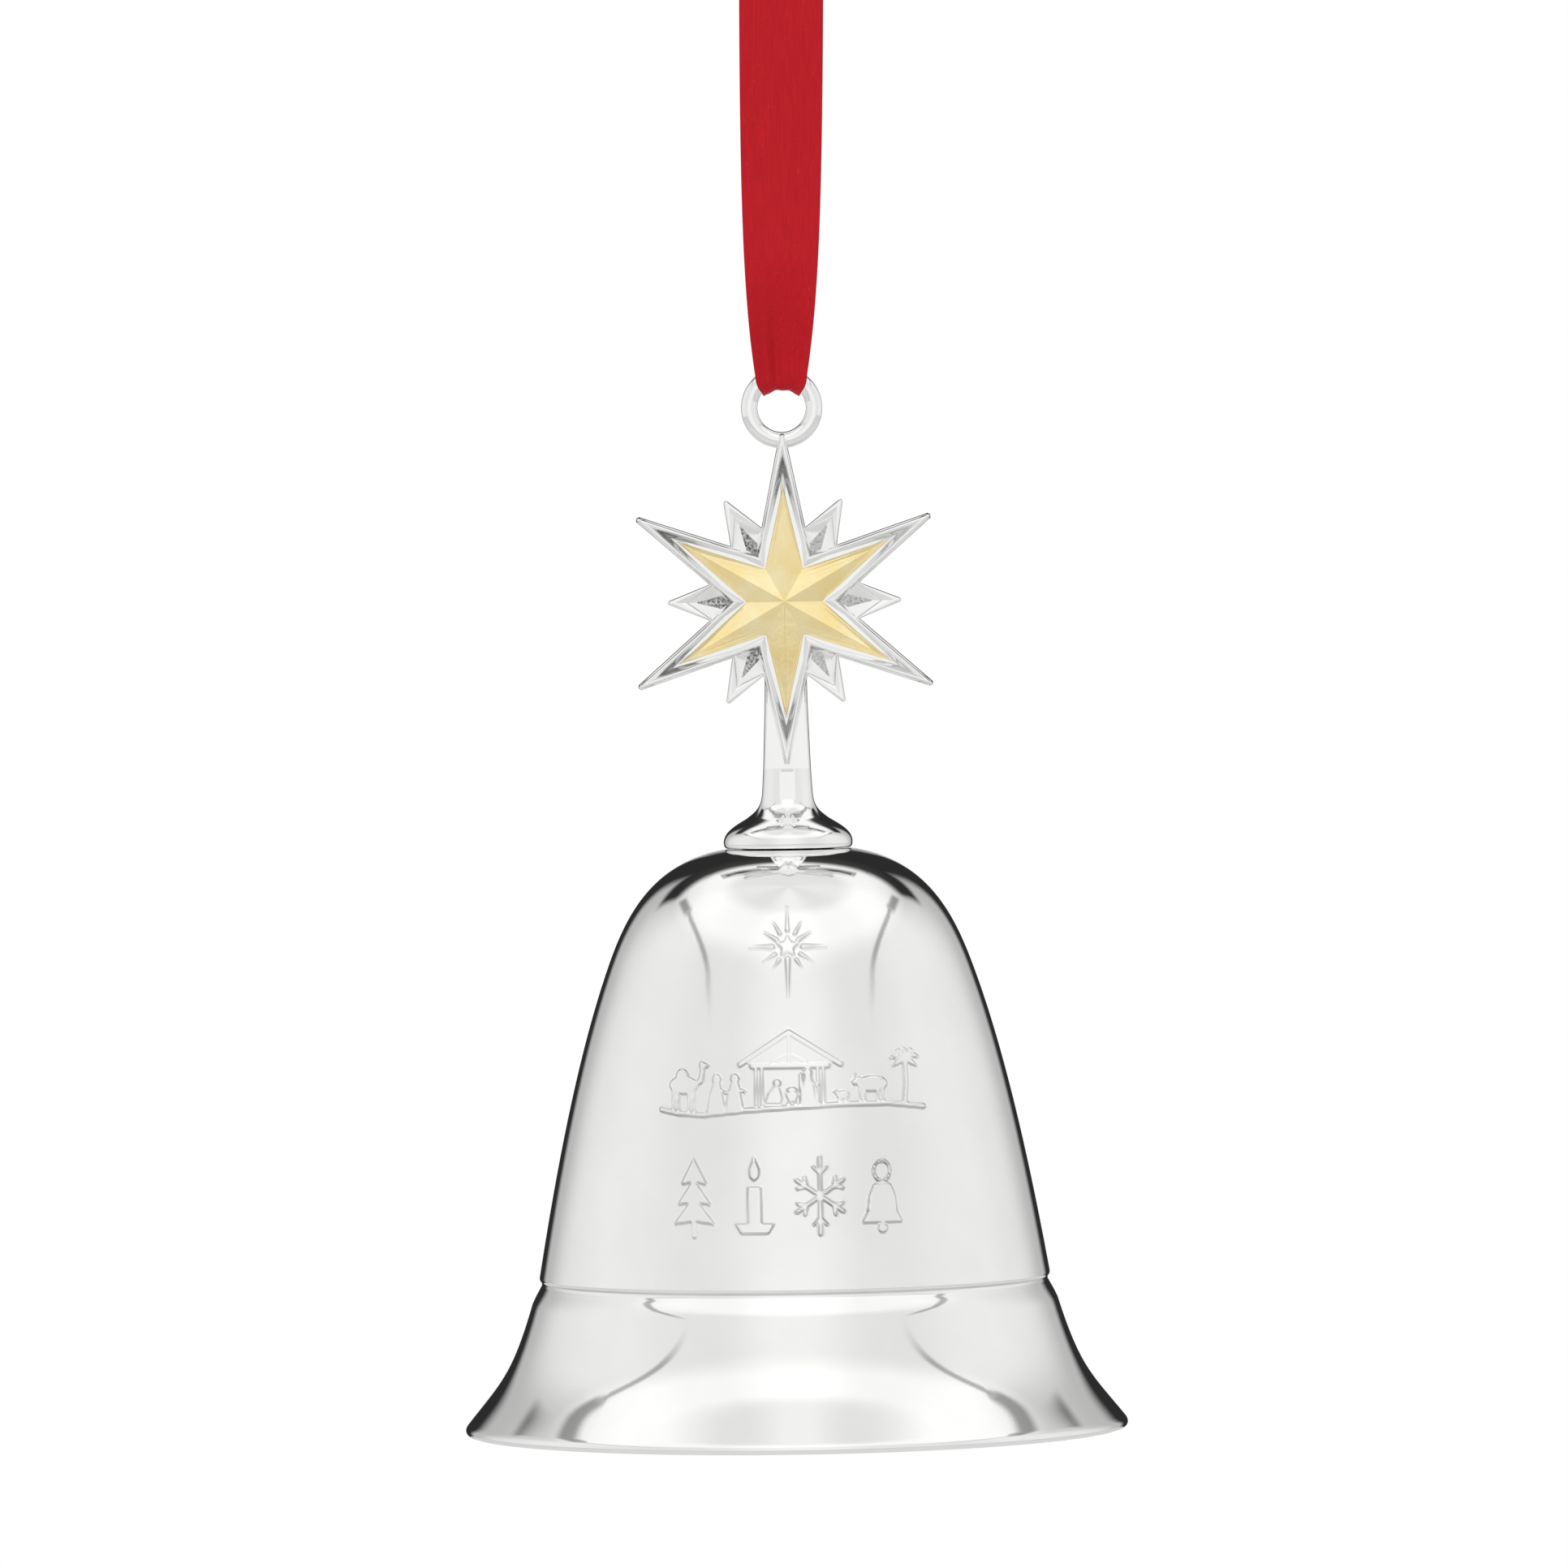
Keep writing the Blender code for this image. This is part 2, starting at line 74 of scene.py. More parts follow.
# Down the outside of the bell: three curves, the groove between the last two, and the lip at the end.
CROWN_CURVE = ((7.0, 64.35), (16.1, 63.0), (18.85, 55.65), (20.8, 50.0))
BODY_CURVE = ((20.8, 50.0), (24.25, 40.0), (26.75, 27.0), (28.45, 17.0))
FLARE_CURVE = ((29.3, 14.0), (31.75, 5.95), (32.95, 5.25), (36.75, 0.5))
GROOVE_LINE = (
    *((28.47, 16.8), (28.44, 16.62), (28.36, 16.5), (28.26, 16.38), (28.22, 16.2), (28.24, 16.02)),
    *((28.34, 15.85), (28.47, 15.6), (28.66, 15.25), (28.86, 14.9), (29.06, 14.5), (29.3, 14.0)),
)
LIP_LINE = (
    *((36.87, 0.3), (36.94, 0.08), (36.94, -0.12), (36.86, -0.32), (36.7, -0.47)),
    *((36.45, -0.55), (35.95, -0.55), (35.7, -0.5), (35.55, -0.35)),
)
# Where the rows of points get closer or wider apart: a height, and the spacing above it.
ROW_STOPS = ((59.2, 0.5), (47.6, 0.18), (45.4, 0.5), (35.0, 0.18), (32.0, 0.5), (22.0, 0.18))
ROW_STOPS += ((16.9, 0.45),)
FLARE_SPACING = 0.45
# The height of a band of painted shade along the groove, its half height and how dark it is.
GROOVE_H = 16.35
GROOVE_HALF = 0.16
GROOVE_SHADE = 0.55
CROWN_HOLE_R = 1.6
FRONT_TURN = 39.0  # degrees of the decorated front to each side


def z_of(height):
    return RIM_Z + height


def camera():
    """Straight on to the star, turned a little so that the bell hangs off plumb in the view."""
    across = Vector((math.cos(VIEW_ROLL), 0.0, -math.sin(VIEW_ROLL)))
    up = Vector((math.sin(VIEW_ROLL), 0.0, math.cos(VIEW_ROLL)))
    target = Vector((0.0, 0.0, z_of(RING_CENTRE_H) * MM)) + across * VIEW_ASIDE - up * VIEW_DROP
    place = Vector((target.x, -VIEW_DISTANCE, target.z + VIEW_RISE))
    ahead = (target - place).normalized()
    right = ahead.cross(up).normalized()
    turned = Matrix((right, right.cross(ahead), -ahead)).transposed().to_4x4()
    data = bpy.data.cameras.new("view")
    data.sensor_width = SENSOR_WIDTH
    data.lens = SENSOR_WIDTH * VIEW_DISTANCE / VIEW_WIDTH
    data.clip_end = 50.0
    made = bpy.data.objects.new("view", data)
    made.matrix_world = Matrix.Translation(place) @ turned
    bpy.context.collection.objects.link(made)
    bpy.context.scene.camera = made


def mesh_object(name, points, faces, look=None, smooth=True):
    """An object from points in millimetres, with its origin at the world's."""
    data = bpy.data.meshes.new(name)
    data.from_pydata((np.asarray(points, float) * MM).tolist(), [], [tuple(f) for f in faces])
    data.validate()
    made = bpy.data.objects.new(name, data)
    bpy.context.collection.objects.link(made)
    data.polygons.foreach_set("use_smooth", [smooth] * len(data.polygons))
    if look:
        data.materials.append(look)
    return made


def sharpen(piece, degrees):
    piece.data.set_sharp_from_angle(angle=math.radians(degrees))


def mark_painted_shade(piece, values):
    """Stores at each point how much painted shade darkens the plating there, which polished() reads."""
    made = piece.data.attributes.new("painted_shade_weight", "FLOAT", "POINT")
    made.data.foreach_set("value", values.astype(np.float32))


def grid_faces(rows, columns, wrap_rows=False):
    """Quads of a grid of rows x columns points, stored row by row and closed along each row."""
    last_row = rows if wrap_rows else rows - 1
    i, j = np.meshgrid(np.arange(last_row), np.arange(columns), indexing="ij")
    i2, j2 = (i + 1) % rows, (j + 1) % columns
    corners = [i * columns + j, i * columns + j2, i2 * columns + j2, i2 * columns + j]
    return np.stack(corners, axis=-1).reshape(-1, 4).tolist()


def blend(value):
    t = np.clip(value, 0.0, 1.0)
    return t * t * (3 - 2 * t)


def bezier(curve, count):
    a, b, c, d = (np.array(p, float) for p in curve)
    t = np.linspace(0.0, 1.0, count + 1)[:, None]
    s = 1 - t
    return a * s**3 + b * 3 * s * s * t + c * 3 * s * t * t + d * t**3


def resample(points, spacing):
    """The same line with points about this far apart."""
    points = np.asarray(points, float)
    steps = np.hypot(*np.diff(points, axis=0).T)
    along = np.concatenate([[0.0], np.cumsum(steps)])
    at = np.linspace(0.0, along[-1], max(int(round(along[-1] / spacing)), 1) + 1)
    return np.stack([np.interp(at, along, points[:, 0]), np.interp(at, along, points[:, 1])], axis=1)


def smooth_line(points, count):
    """A Catmull-Rom line through the points, with this many samples per span."""
    p = np.asarray(points, float)
    p = np.concatenate([[2 * p[0] - p[1]], p, [2 * p[-1] - p[-2]]])
    t = np.linspace(0.0, 1.0, count, endpoint=False)[:, None]
    found = []
    for a, b, c, d in zip(p, p[1:], p[2:], p[3:]):
        square, cube = 2 * a - 5 * b + 4 * c - d, 3 * b - a - 3 * c + d
        found.append(0.5 * (2 * b + (c - a) * t + square * t**2 + cube * t**3))
    return np.concatenate(found + [p[-2:-1]])


def normals_of(profile):
    """Outward normals of a line that runs down the outer side."""
    along = np.gradient(profile, axis=0)
    along /= np.linalg.norm(along, axis=1)[:, None]
    return np.stack([-along[:, 1], along[:, 0]], axis=1)


def round_turns(steps):
    return np.arange(steps) * 2 * math.pi / steps


def lathe_points(profile, turns):
    """Rows of points of (r, h) turned about Z, starting at the front."""
    profile = np.asarray(profile, float)
    r, h = profile[:, :1], profile[:, 1:]
    x = r * np.sin(turns)[None, :]
    y = -r * np.cos(turns)[None, :]
    return np.stack([x, y, z_of(h) + np.zeros_like(x)], axis=-1)


def lathe_part(profile, steps, closed=False):
    points = lathe_points(profile, round_turns(steps)).reshape(-1, 3)
    return points, grid_faces(len(profile), steps, wrap_rows=closed)


def torus_part(height, big, small, plane, steps=96, sides=28):
    """A ring of round wire about the axis, in the XZ or the YZ plane."""
    turn = round_turns(steps)[:, None]
    roll = round_turns(sides)[None, :]
    out = big + small * np.cos(roll)
    along, up, off = out * np.sin(turn), out * np.cos(turn), small * np.sin(roll) + 0 * turn
    x, y = (along, off) if plane == "XZ" else (off, along)
    points = np.stack([x, y, z_of(height) + up], axis=-1).reshape(-1, 3)
    return points, grid_faces(steps, sides, wrap_rows=True)


def join_parts(parts):
    """One set of points and faces from several closed shapes that run into each other."""
    points, faces, start = [], [], 0
    for p, f in parts:
        points.append(np.asarray(p, float).reshape(-1, 3))
        faces += [tuple(i + start for i in face) for face in f]
        start += len(points[-1])
    return np.concatenate(points), faces


# ---------------------------------------------------------------- relief on the bell
def polar(reach, angle):
    """The point at this reach and angle in degrees."""
    turn = math.radians(angle)
    return (reach * math.cos(turn), reach * math.sin(turn))


def raised(distance, level, edge):
    """A flat-topped relief of this height with a rounded edge, from a signed distance."""
    return level * blend(0.5 - distance / edge)


class Relief:
    """Raised shapes on the front of the bell: u is the distance round it and v the height.

    Each shape ends with its level and the width of its rounded edge.
    """

    def __init__(self, u, v, height):
        self.u = u
        self.v = v
        self.height = height

    def at(self, x, y):
        """The same relief, with its shapes placed from this point."""
        return Relief(self.u - x, self.v - y, self.height)

    def add(self, distance, level, edge):
        np.maximum(self.height, raised(distance, level, edge), out=self.height)

    def to_stroke(self, start, end, start_r, end_r=None):
        """Signed distance to a straight stroke that may taper."""
        end_r = start_r if end_r is None else end_r
        (ax, ay), (bx, by) = start, end
        dx, dy = bx - ax, by - ay
        t = ((self.u - ax) * dx + (self.v - ay) * dy) / max(dx * dx + dy * dy, 1e-9)
        t = np.clip(t, 0.0, 1.0)
        away = np.hypot(self.u - ax - t * dx, self.v - ay - t * dy)
        return away - (start_r + (end_r - start_r) * t)

    def to_oval(self, cx, cy, rx, ry):
        reach = np.hypot((self.u - cx) / rx, (self.v - cy) / ry)
        return (reach - 1.0) * min(rx, ry)

    def to_polygon(self, points):
        """Signed distance to a filled outline."""
        best = np.full(self.u.shape, 1e6)
        inside = np.zeros(self.u.shape, bool)
        for i, (ax, ay) in enumerate(points):
            bx, by = points[i - 1]
            ex, ey = bx - ax, by - ay
            wx, wy = self.u - ax, self.v - ay
            t = np.clip((wx * ex + wy * ey) / (ex * ex + ey * ey), 0.0, 1.0)
            best = np.minimum(best, (wx - ex * t) ** 2 + (wy - ey * t) ** 2)
            crosses = (ay > self.v) != (by > self.v)
            slope = np.where(crosses, wy / (ey if ey else 1e-9), 0.0)
            inside ^= crosses & (self.u < ax + slope * ex)
        return np.sqrt(best) * np.where(inside, -1.0, 1.0)

    def stroke(self, start, end, radii, level, edge):
        self.add(self.to_stroke(start, end, *radii), level, edge)

    def chain(self, points, radius, level, edge):
        for start, end in zip(points, points[1:]):
            self.stroke(start, end, (radius,), level, edge)

    def oval(self, cx, cy, rx, ry, level, edge):
        self.add(self.to_oval(cx, cy, rx, ry), level, edge)

    def polygon(self, points, level, edge):
        self.add(self.to_polygon(points), level, edge)


def little_star(cut):
    """A small five-pointed star with twelve slim rays round it."""
    cut.polygon([polar(0.66 if k % 2 else 1.3, 90.0 + 36.0 * k) for k in range(10)], 0.14, 0.3)
    # Angle, start, end and half width of each ray.
    rays = [(90, 1.75, 4.3, 0.2), (270, 1.3, 5.6, 0.26), (0, 1.65, 4.2, 0.24), (180, 1.65, 4.2, 0.24)]
    rays += [(32, 1.35, 3.0, 0.2), (148, 1.35, 3.0, 0.2), (60, 1.6, 3.0, 0.17), (120, 1.6, 3.0, 0.17)]
    rays += [(-30, 1.6, 3.1, 0.2), (210, 1.6, 3.1, 0.2), (-56, 1.7, 2.7, 0.19), (236, 1.7, 2.7, 0.19)]
    for angle, start, end, half in rays:
        cut.stroke(polar(start, angle), polar(end, angle), (half, 0.04), 0.15, 0.26)


def robed(cut, tall, lean=0.0):
    """A plain robed figure: a long cloak, a hood and one arm held forward."""
    cloak = [(-0.28 * tall, 0.0), (-0.2 * tall, 0.45 * tall), (lean - 0.09 * tall, 0.8 * tall)]
    cloak += [(lean + 0.09 * tall, 0.8 * tall), (0.16 * tall, 0.45 * tall), (0.24 * tall, 0.0)]
    cut.polygon(cloak, 0.17, 0.2)
    cut.oval(lean, 0.88 * tall, 0.115 * tall, 0.13 * tall, 0.2, 0.18)
    shoulder, hand = (lean * 0.6, 0.62 * tall), (lean + 0.3 * tall, 0.52 * tall)
    cut.stroke(shoulder, hand, (0.13, 0.09), 0.22, 0.14)


def camel(cut):
    """A standing camel that faces right."""
    for leg, slant in ((-1.45, -0.1), (-1.0, 0.15), (0.55, -0.15), (1.0, 0.1)):
        cut.stroke((leg, 2.4), (leg + slant, 0.15), (0.24, 0.13), 0.14, 0.16)
    cut.oval(-0.2, 3.0, 1.75, 0.95, 0.19, 0.22)
    cut.oval(-0.35, 4.0, 0.75, 0.75, 0.2, 0.22)
    cut.chain([(1.2, 3.1), (1.95, 3.5), (2.15, 4.6), (2.1, 5.2)], 0.27, 0.19, 0.18)
    cut.stroke((2.05, 5.3), (2.75, 5.1), (0.27, 0.16), 0.2, 0.16)


def ox(cut):
    """A standing ox that faces left."""
    for leg in (-1.35, -0.85, 0.75, 1.3):
        cut.stroke((leg, 1.4), (leg, 0.1), (0.2, 0.13), 0.14, 0.16)
    cut.oval(0.1, 2.0, 1.75, 0.85, 0.2, 0.22)
    cut.stroke((-1.5, 2.4), (-2.0, 2.2), (0.42, 0.26), 0.21, 0.18)
    cut.stroke((-1.75, 2.75), (-1.95, 3.2), (0.09, 0.05), 0.18, 0.12)


def lamb(cut):
    cut.oval(0.0, 0.85, 0.72, 0.45, 0.18, 0.2)
    cut.oval(-0.75, 1.2, 0.26, 0.22, 0.19, 0.14)
    for leg in (-0.4, -0.15, 0.25, 0.5):
        cut.stroke((leg, 0.5), (leg, 0.1), (0.08,), 0.13, 0.12)


def palm(cut):
    cut.chain([(-0.1, 0.0), (0.15, 2.2), (0.05, 4.6)], 0.26, 0.17, 0.2)
    fronds = ((15, 2.1), (50, 1.9), (95, 1.5), (135, 1.9), (168, 2.1), (-25, 1.8), (205, 1.8))
    for angle, reach in fronds:
        out, up = polar(reach, angle)
        middle = (0.55 * out, 4.9 + 0.6 * up)
        cut.stroke((0.0, 4.8), middle, (0.16, 0.27), 0.18, 0.16)
        cut.stroke(middle, (out, 4.55 + 0.75 * up), (0.27, 0.05), 0.18, 0.16)


def stable(cut):
    """An open stable: gable roof, two double posts, a beam and a crib scene of plain shapes."""
    cut.polygon([(-5.2, 41.35), (-0.3, 44.55), (4.9, 41.25), (3.7, 41.1), (-4.1, 41.1)], 0.08, 0.2)
    cut.chain([(-5.7, 41.25), (-0.3, 44.7), (5.4, 41.15)], 0.27, 0.2, 0.2)
    cut.chain([(-4.4, 41.05), (4.0, 41.05)], 0.24, 0.2, 0.16)
    for top, foot in ((44.2, (-0.3, 41.3)), (42.4, (-2.2, 41.4)), (42.4, (1.6, 41.4))):
        cut.stroke((-0.3, top), foot, (0.14,), 0.15, 0.14)
    for x in (-3.95, -3.3, 2.85, 3.45):
        cut.stroke((x, 40.9), (x, 36.9), (0.13,), 0.16, 0.14)
    kneeling = [(-3.0, 37.0), (-2.6, 38.1), (-1.9, 38.9), (-1.35, 38.6), (-1.1, 37.6), (-1.2, 37.0)]
    cut.polygon(kneeling, 0.15, 0.18)
    cut.oval(-1.62, 39.2, 0.38, 0.42, 0.18, 0.16)
    cut.polygon([(-0.75, 38.1), (0.75, 38.1), (0.4, 37.3), (-0.4, 37.3)], 0.14, 0.16)
    cut.stroke((-0.55, 36.9), (0.3, 37.6), (0.09,), 0.16, 0.12)
    cut.stroke((0.55, 36.9), (-0.3, 37.6), (0.09,), 0.16, 0.12)
    cut.oval(0.0, 38.45, 0.55, 0.3, 0.19, 0.14)
    robed(cut.at(1.85, 36.95), 3.75, -0.1)
    cut.chain([(0.95, 37.0), (0.95, 40.0), (1.02, 40.25), (1.2, 40.32), (1.34, 40.18)], 0.07, 0.2, 0.12)


def manger_scene(cut):
    """A plain manger scene on one gently curved ground line."""
    ground = [(-15.3, 36.35), (-13.0, 35.95), (-10.0, 35.8), (-5.0, 36.3), (0.0, 36.6)]
    ground += [(6.0, 36.85), (11.0, 36.8), (15.4, 36.3)]
    cut.chain(ground, 0.24, 0.2, 0.24)
    stable(cut)
    camel(cut.at(-12.2, 36.0))
    robed(cut.at(-8.4, 36.05), 4.1)
    robed(cut.at(-6.3, 36.2), 4.0)
    lamb(cut.at(5.6, 36.95))
    ox(cut.at(8.9, 36.95))
    palm(cut.at(13.0, 36.7))


def fir(cut):
    cut.stroke((0.0, 22.7), (0.0, 24.2), (0.3,), 0.15, 0.16)
    for low, tall, half in ((23.9, 3.0, 2.5), (26.0, 2.8, 2.05), (28.2, 2.9, 1.6)):
        cut.polygon([(-half, low), (0.0, low + tall), (half, low), (0.0, low + 0.35)], 0.2, 0.2)


def candle(cut):
    cut.polygon([(-0.75, 24.0), (-0.75, 28.0), (0.75, 28.0), (0.75, 24.0)], 0.19, 0.18)
    cut.polygon([(-2.2, 24.0), (2.2, 24.0), (1.5, 22.9), (-1.5, 22.9)], 0.2, 0.18)
    flame = [(0.0, 31.2), (0.55, 29.9), (0.5, 29.1), (0.0, 28.6), (-0.5, 29.1), (-0.55, 29.9)]
    cut.polygon(flame, 0.2, 0.18)


def flake(cut):
    middle = cut.at(0.0, 26.95)
    for angle, reach in ((90, 4.15), (34, 3.1), (146, 3.1)):
        middle.stroke(polar(-reach, angle), polar(reach, angle), (0.2,), 0.19, 0.18)
        for side in (-1, 1):
            fork = middle.at(*polar(side * reach * 0.58, angle))
            for bend in (-45, 45):
                fork.stroke((0.0, 0.0), polar(side * 1.05, angle + bend), (0.15,), 0.18, 0.16)


def handbell(cut):
    cup = [(-2.4, 23.9), (-1.75, 25.0), (-1.5, 26.9), (-0.95, 28.1)]
    cut.polygon(cup + [(-x, y) for x, y in cup[::-1]], 0.19, 0.2)
    cut.oval(0.0, 23.3, 0.55, 0.5, 0.18, 0.16)
    cut.add(np.abs(cut.to_oval(0.0, 29.5, 0.95, 1.1)) - 0.14, 0.18, 0.14)
    cut.height += raised(cut.to_stroke((-1.6, 25.2), (1.6, 25.2), 0.1), 0.05, 0.14)


def relief_at(across, height):
    """How far the metal stands proud at a distance round the front and a height."""
    cut = Relief(across, height, np.zeros(across.shape))
    little_star(cut.at(-0.25, 54.0))
    manger_scene(cut)
    for motif, x in ((fir, -11.2), (candle, -4.3), (flake, 2.9), (handbell, 9.9)):
        motif(cut.at(x, 0.0))
    return cut.height


def bell_inner():
    """The inside of the wall, from the crown down."""
    curves = [bezier(CROWN_CURVE, 60), bezier(BODY_CURVE, 60)[1:], bezier(FLARE_CURVE, 60)[1:]]
    outside = resample(np.concatenate(curves), 1.0)
    return outside - normals_of(outside) * WALL


def bell_turns():
    """Angles round the bell, close together across the decorated front."""
    front = np.linspace(-FRONT_TURN, FRONT_TURN, 205)
    rest = np.linspace(FRONT_TURN, 360.0 - FRONT_TURN, 108)[1:-1]
    return np.radians(np.concatenate([front, rest]))


def bell_rows():
    """The outside from the crown to under the lip, with close rows where the relief is."""
    upper = np.concatenate([bezier(CROWN_CURVE, 300), bezier(BODY_CURVE, 300)[1:]])
    rows = []
    above = math.inf
    for low, spacing in ROW_STOPS:
        part = upper[(upper[:, 1] <= above) & (upper[:, 1] >= low)]
        rows.append(resample(part, spacing)[(1 if rows else 0) :])
        above = low
    rows += [GROOVE_LINE, resample(bezier(FLARE_CURVE, 120), FLARE_SPACING)[1:], LIP_LINE]
    return np.concatenate(rows)


def bell_body(look, inside_look):
    profile = bell_rows()
    turns = bell_turns()
    wrapped = np.where(turns > math.pi, turns - 2 * math.pi, turns)
    across = profile[:, :1] * wrapped[None, :]
    lift = relief_at(across, profile[:, 1:] + np.zeros_like(across))
    lift *= np.clip((FRONT_TURN - np.degrees(np.abs(wrapped))) / 2.0, 0.0, 1.0)[None, :]
    normal = normals_of(profile)
    out, up = normal[:, :1], normal[:, 1:] + 0 * turns[None, :]
    away = np.stack([out * np.sin(turns), -out * np.cos(turns), up], axis=-1)
    outer = (lathe_points(profile, turns) + away * lift[..., None]).reshape(-1, 3)
    down = np.concatenate([[0.0], np.cumsum(np.hypot(*np.diff(profile, axis=0).T))])
    # Painted shade: the plating is darkened on the relief's steep flanks, from its slope, and in a band
    # along the groove line.
    slope = np.hypot(np.gradient(lift, down, axis=0), np.gradient(lift, turns, axis=1) / profile[:, :1])
    slope = slope + GROOVE_SHADE * np.exp(-(((profile[:, 1:] - GROOVE_H) / GROOVE_HALF) ** 2))
    hole = [(CROWN_HOLE_R, CROWN_H - WALL)]
    inner = lathe_part(np.concatenate([LIP_LINE[-1:], bell_inner()[::-1], hole]), 120)
    crown = lathe_points([[CROWN_HOLE_R, CROWN_H], CROWN_CURVE[0]], turns)
    outer_faces = grid_faces(len(profile), len(turns))
    points, faces = join_parts([(outer, outer_faces), inner, (crown, grid_faces(2, len(turns)))])
    made = mesh_object("bell_body", points, faces, look)
    made.data.materials.append(inside_look)
    index = np.zeros(len(made.data.polygons), np.int32)
    index[len(outer_faces) : len(outer_faces) + len(inner[1])] = 1
    made.data.polygons.foreach_set("material_index", index)
    mark_painted_shade(made, np.append(np.clip(slope, 0.0, 1.0), np.zeros(len(points) - len(outer))))
    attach(made, "bell")
    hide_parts("bell_shell")


# ---------------------------------------------------------------- handle, star and ring
NECK_JOINT_H = 73.3
STEM_LINE = ((2.66, NECK_JOINT_H), (2.73, 72.0), (2.82, 70.6))
FOOT_CURVES = (
    ((2.82, 70.6), (2.95, 68.9), (3.6, 68.5), (4.6, 67.75)),
    ((4.6, 67.75), (5.9, 67.0), (7.1, 66.3), (7.19, 65.2)),
)
FOOT_RIM = ((7.19, 64.95), (7.14, 64.7), (7.02, 64.52), (6.85, 64.43), (5.2, 64.42))
STEM_FLAT = 0.13
STEM_FLAT_LOW = 69.5
NECK_LINE = (
    *((NEAR_ZERO, 86.1), (0.8, 85.95), (1.5, 85.5), (2.1, 84.9), (2.3, 84.2)),
    *((2.36, 82.5), (2.42, 80.0), (2.56, 76.0), (2.66, NECK_JOINT_H)),
)
NECK_FRONT = 1.15


def handle(look):
    """Stem and flared foot, with the slim flat that runs down its front."""
    profile = [[(NEAR_ZERO, NECK_JOINT_H)], resample(STEM_LINE, 0.15)]
    profile += [bezier(FOOT_CURVES[0], 16)[1:], bezier(FOOT_CURVES[1], 18)[1:], FOOT_RIM]
    profile = np.concatenate(profile)
    height = profile[:, 1]
    depth = STEM_FLAT * blend((height - STEM_FLAT_LOW) / 0.4) * blend((NECK_JOINT_H - height) / 0.3)
    points = lathe_points(profile, round_turns(176))
    flat = depth[:, None] - profile[:, :1]
    cut = (points[..., 1] < flat) & (depth[:, None] > 0.0)
    points[..., 1] = np.where(cut, flat, points[..., 1])
    made = mesh_object("stem_and_foot", points.reshape(-1, 3), grid_faces(len(profile), 176), look)
    sharpen(made, 40)
    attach(made, "bell")
    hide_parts("handle_stem")


LONG_R = 18.9
LONG_R_TOP = 18.7
LONG_R_BOTTOM = 18.2
SHORT_R = 13.0
CORNER_R = 8.6
CORNER_TURN = 16.5
LONG_ROUND = 0.42
SHORT_ROUND = 0.35
# How far the sharp ends would reach past the rounded ones, and how fast an edge closes in on a point.
LONG_BEYOND = 1.4
SHORT_BEYOND = 0.45
LONG_CLOSING = 0.49
SHORT_CLOSING = 0.397
# How columns of points divide the way from a point to the next corner, and from a corner to a point.
FROM_TIP = (0.0, 0.03, 0.07, 0.13, 0.22, 0.36, 0.56, 0.78)
TO_TIP = (0.0, 0.22, 0.44, 0.64, 0.78, 0.87, 0.93, 0.97)
STATION_ROWS = 3


def star_spokes():
    """(kind, angle, reach) of the 24 spokes: 0 a long point, 1 a corner beside it, 2 a short point."""
    found = []
    for k in range(6):
        middle = 60.0 * k + 30.0
        reach = {1: LONG_R_TOP, 4: LONG_R_BOTTOM}.get(k, LONG_R)
        found.append((2, 60.0 * k, SHORT_R))
        found.append((1, middle - CORNER_TURN, CORNER_R))
        found.append((0, middle, reach))
        found.append((1, middle + CORNER_TURN, CORNER_R))
    return found


def round_tip(spread, angle, centre, radii):
    """Pulls the sharp end of a point in onto arcs about one centre, one radius for each row."""
    c, s = math.cos(angle), math.sin(angle)
    along = spread[..., 0] * c + spread[..., 2] * s - centre
    aside = -spread[..., 0] * s + spread[..., 2] * c
    reach = np.hypot(along, aside)
    limit = np.maximum(radii, 0.02)[:, None]
    at_tip = (along > 0) & (np.abs(aside) < 1.5) & (reach > limit)
    scale = np.where(at_tip, limit / np.maximum(reach, 1e-9), 1.0)
    along, aside = along * scale + centre, aside * scale
    spread[..., 0] = along * c - aside * s
    spread[..., 2] = along * s + aside * c


def star_surface(stations, side):
    """Rows of points (x, y, z) over one face of the star, from the outline inwards."""
    table = np.array(stations, float)
    lines = [smooth_line(table[:, 2 * kind : 2 * kind + 2], STATION_ROWS) for kind in range(3)]
    spokes = star_spokes()
    corners = []
    for kind, angle, reach in spokes:
        line = lines[kind]
        distance = reach + LONG_BEYOND - line[:, 0] if kind == 0 else line[:, 0]
        c, s = math.cos(math.radians(angle)), math.sin(math.radians(angle))
        corners.append(np.stack([distance * c, line[:, 1] * side, distance * s], axis=1))
    columns = []
    for i, (kind, _, _) in enumerate(spokes):
        for t in TO_TIP if kind == 1 else FROM_TIP:
            columns.append(corners[i] * (1 - t) + corners[(i + 1) % 24] * t)
    spread = np.stack(columns, axis=1)
    long_inset = LONG_CLOSING * (CORNER_R - lines[1][:, 0])
    short_inset = SHORT_CLOSING * (SHORT_R + SHORT_BEYOND - lines[2][:, 0])
    for kind, angle, reach in spokes:
        if kind == 0:
            round_tip(spread, math.radians(angle), reach - LONG_ROUND, LONG_ROUND - long_inset)
        if kind == 2:
            round_tip(spread, math.radians(angle), reach - SHORT_ROUND, SHORT_ROUND - short_inset)
    spread[..., 2] += z_of(STAR_H)
    return spread


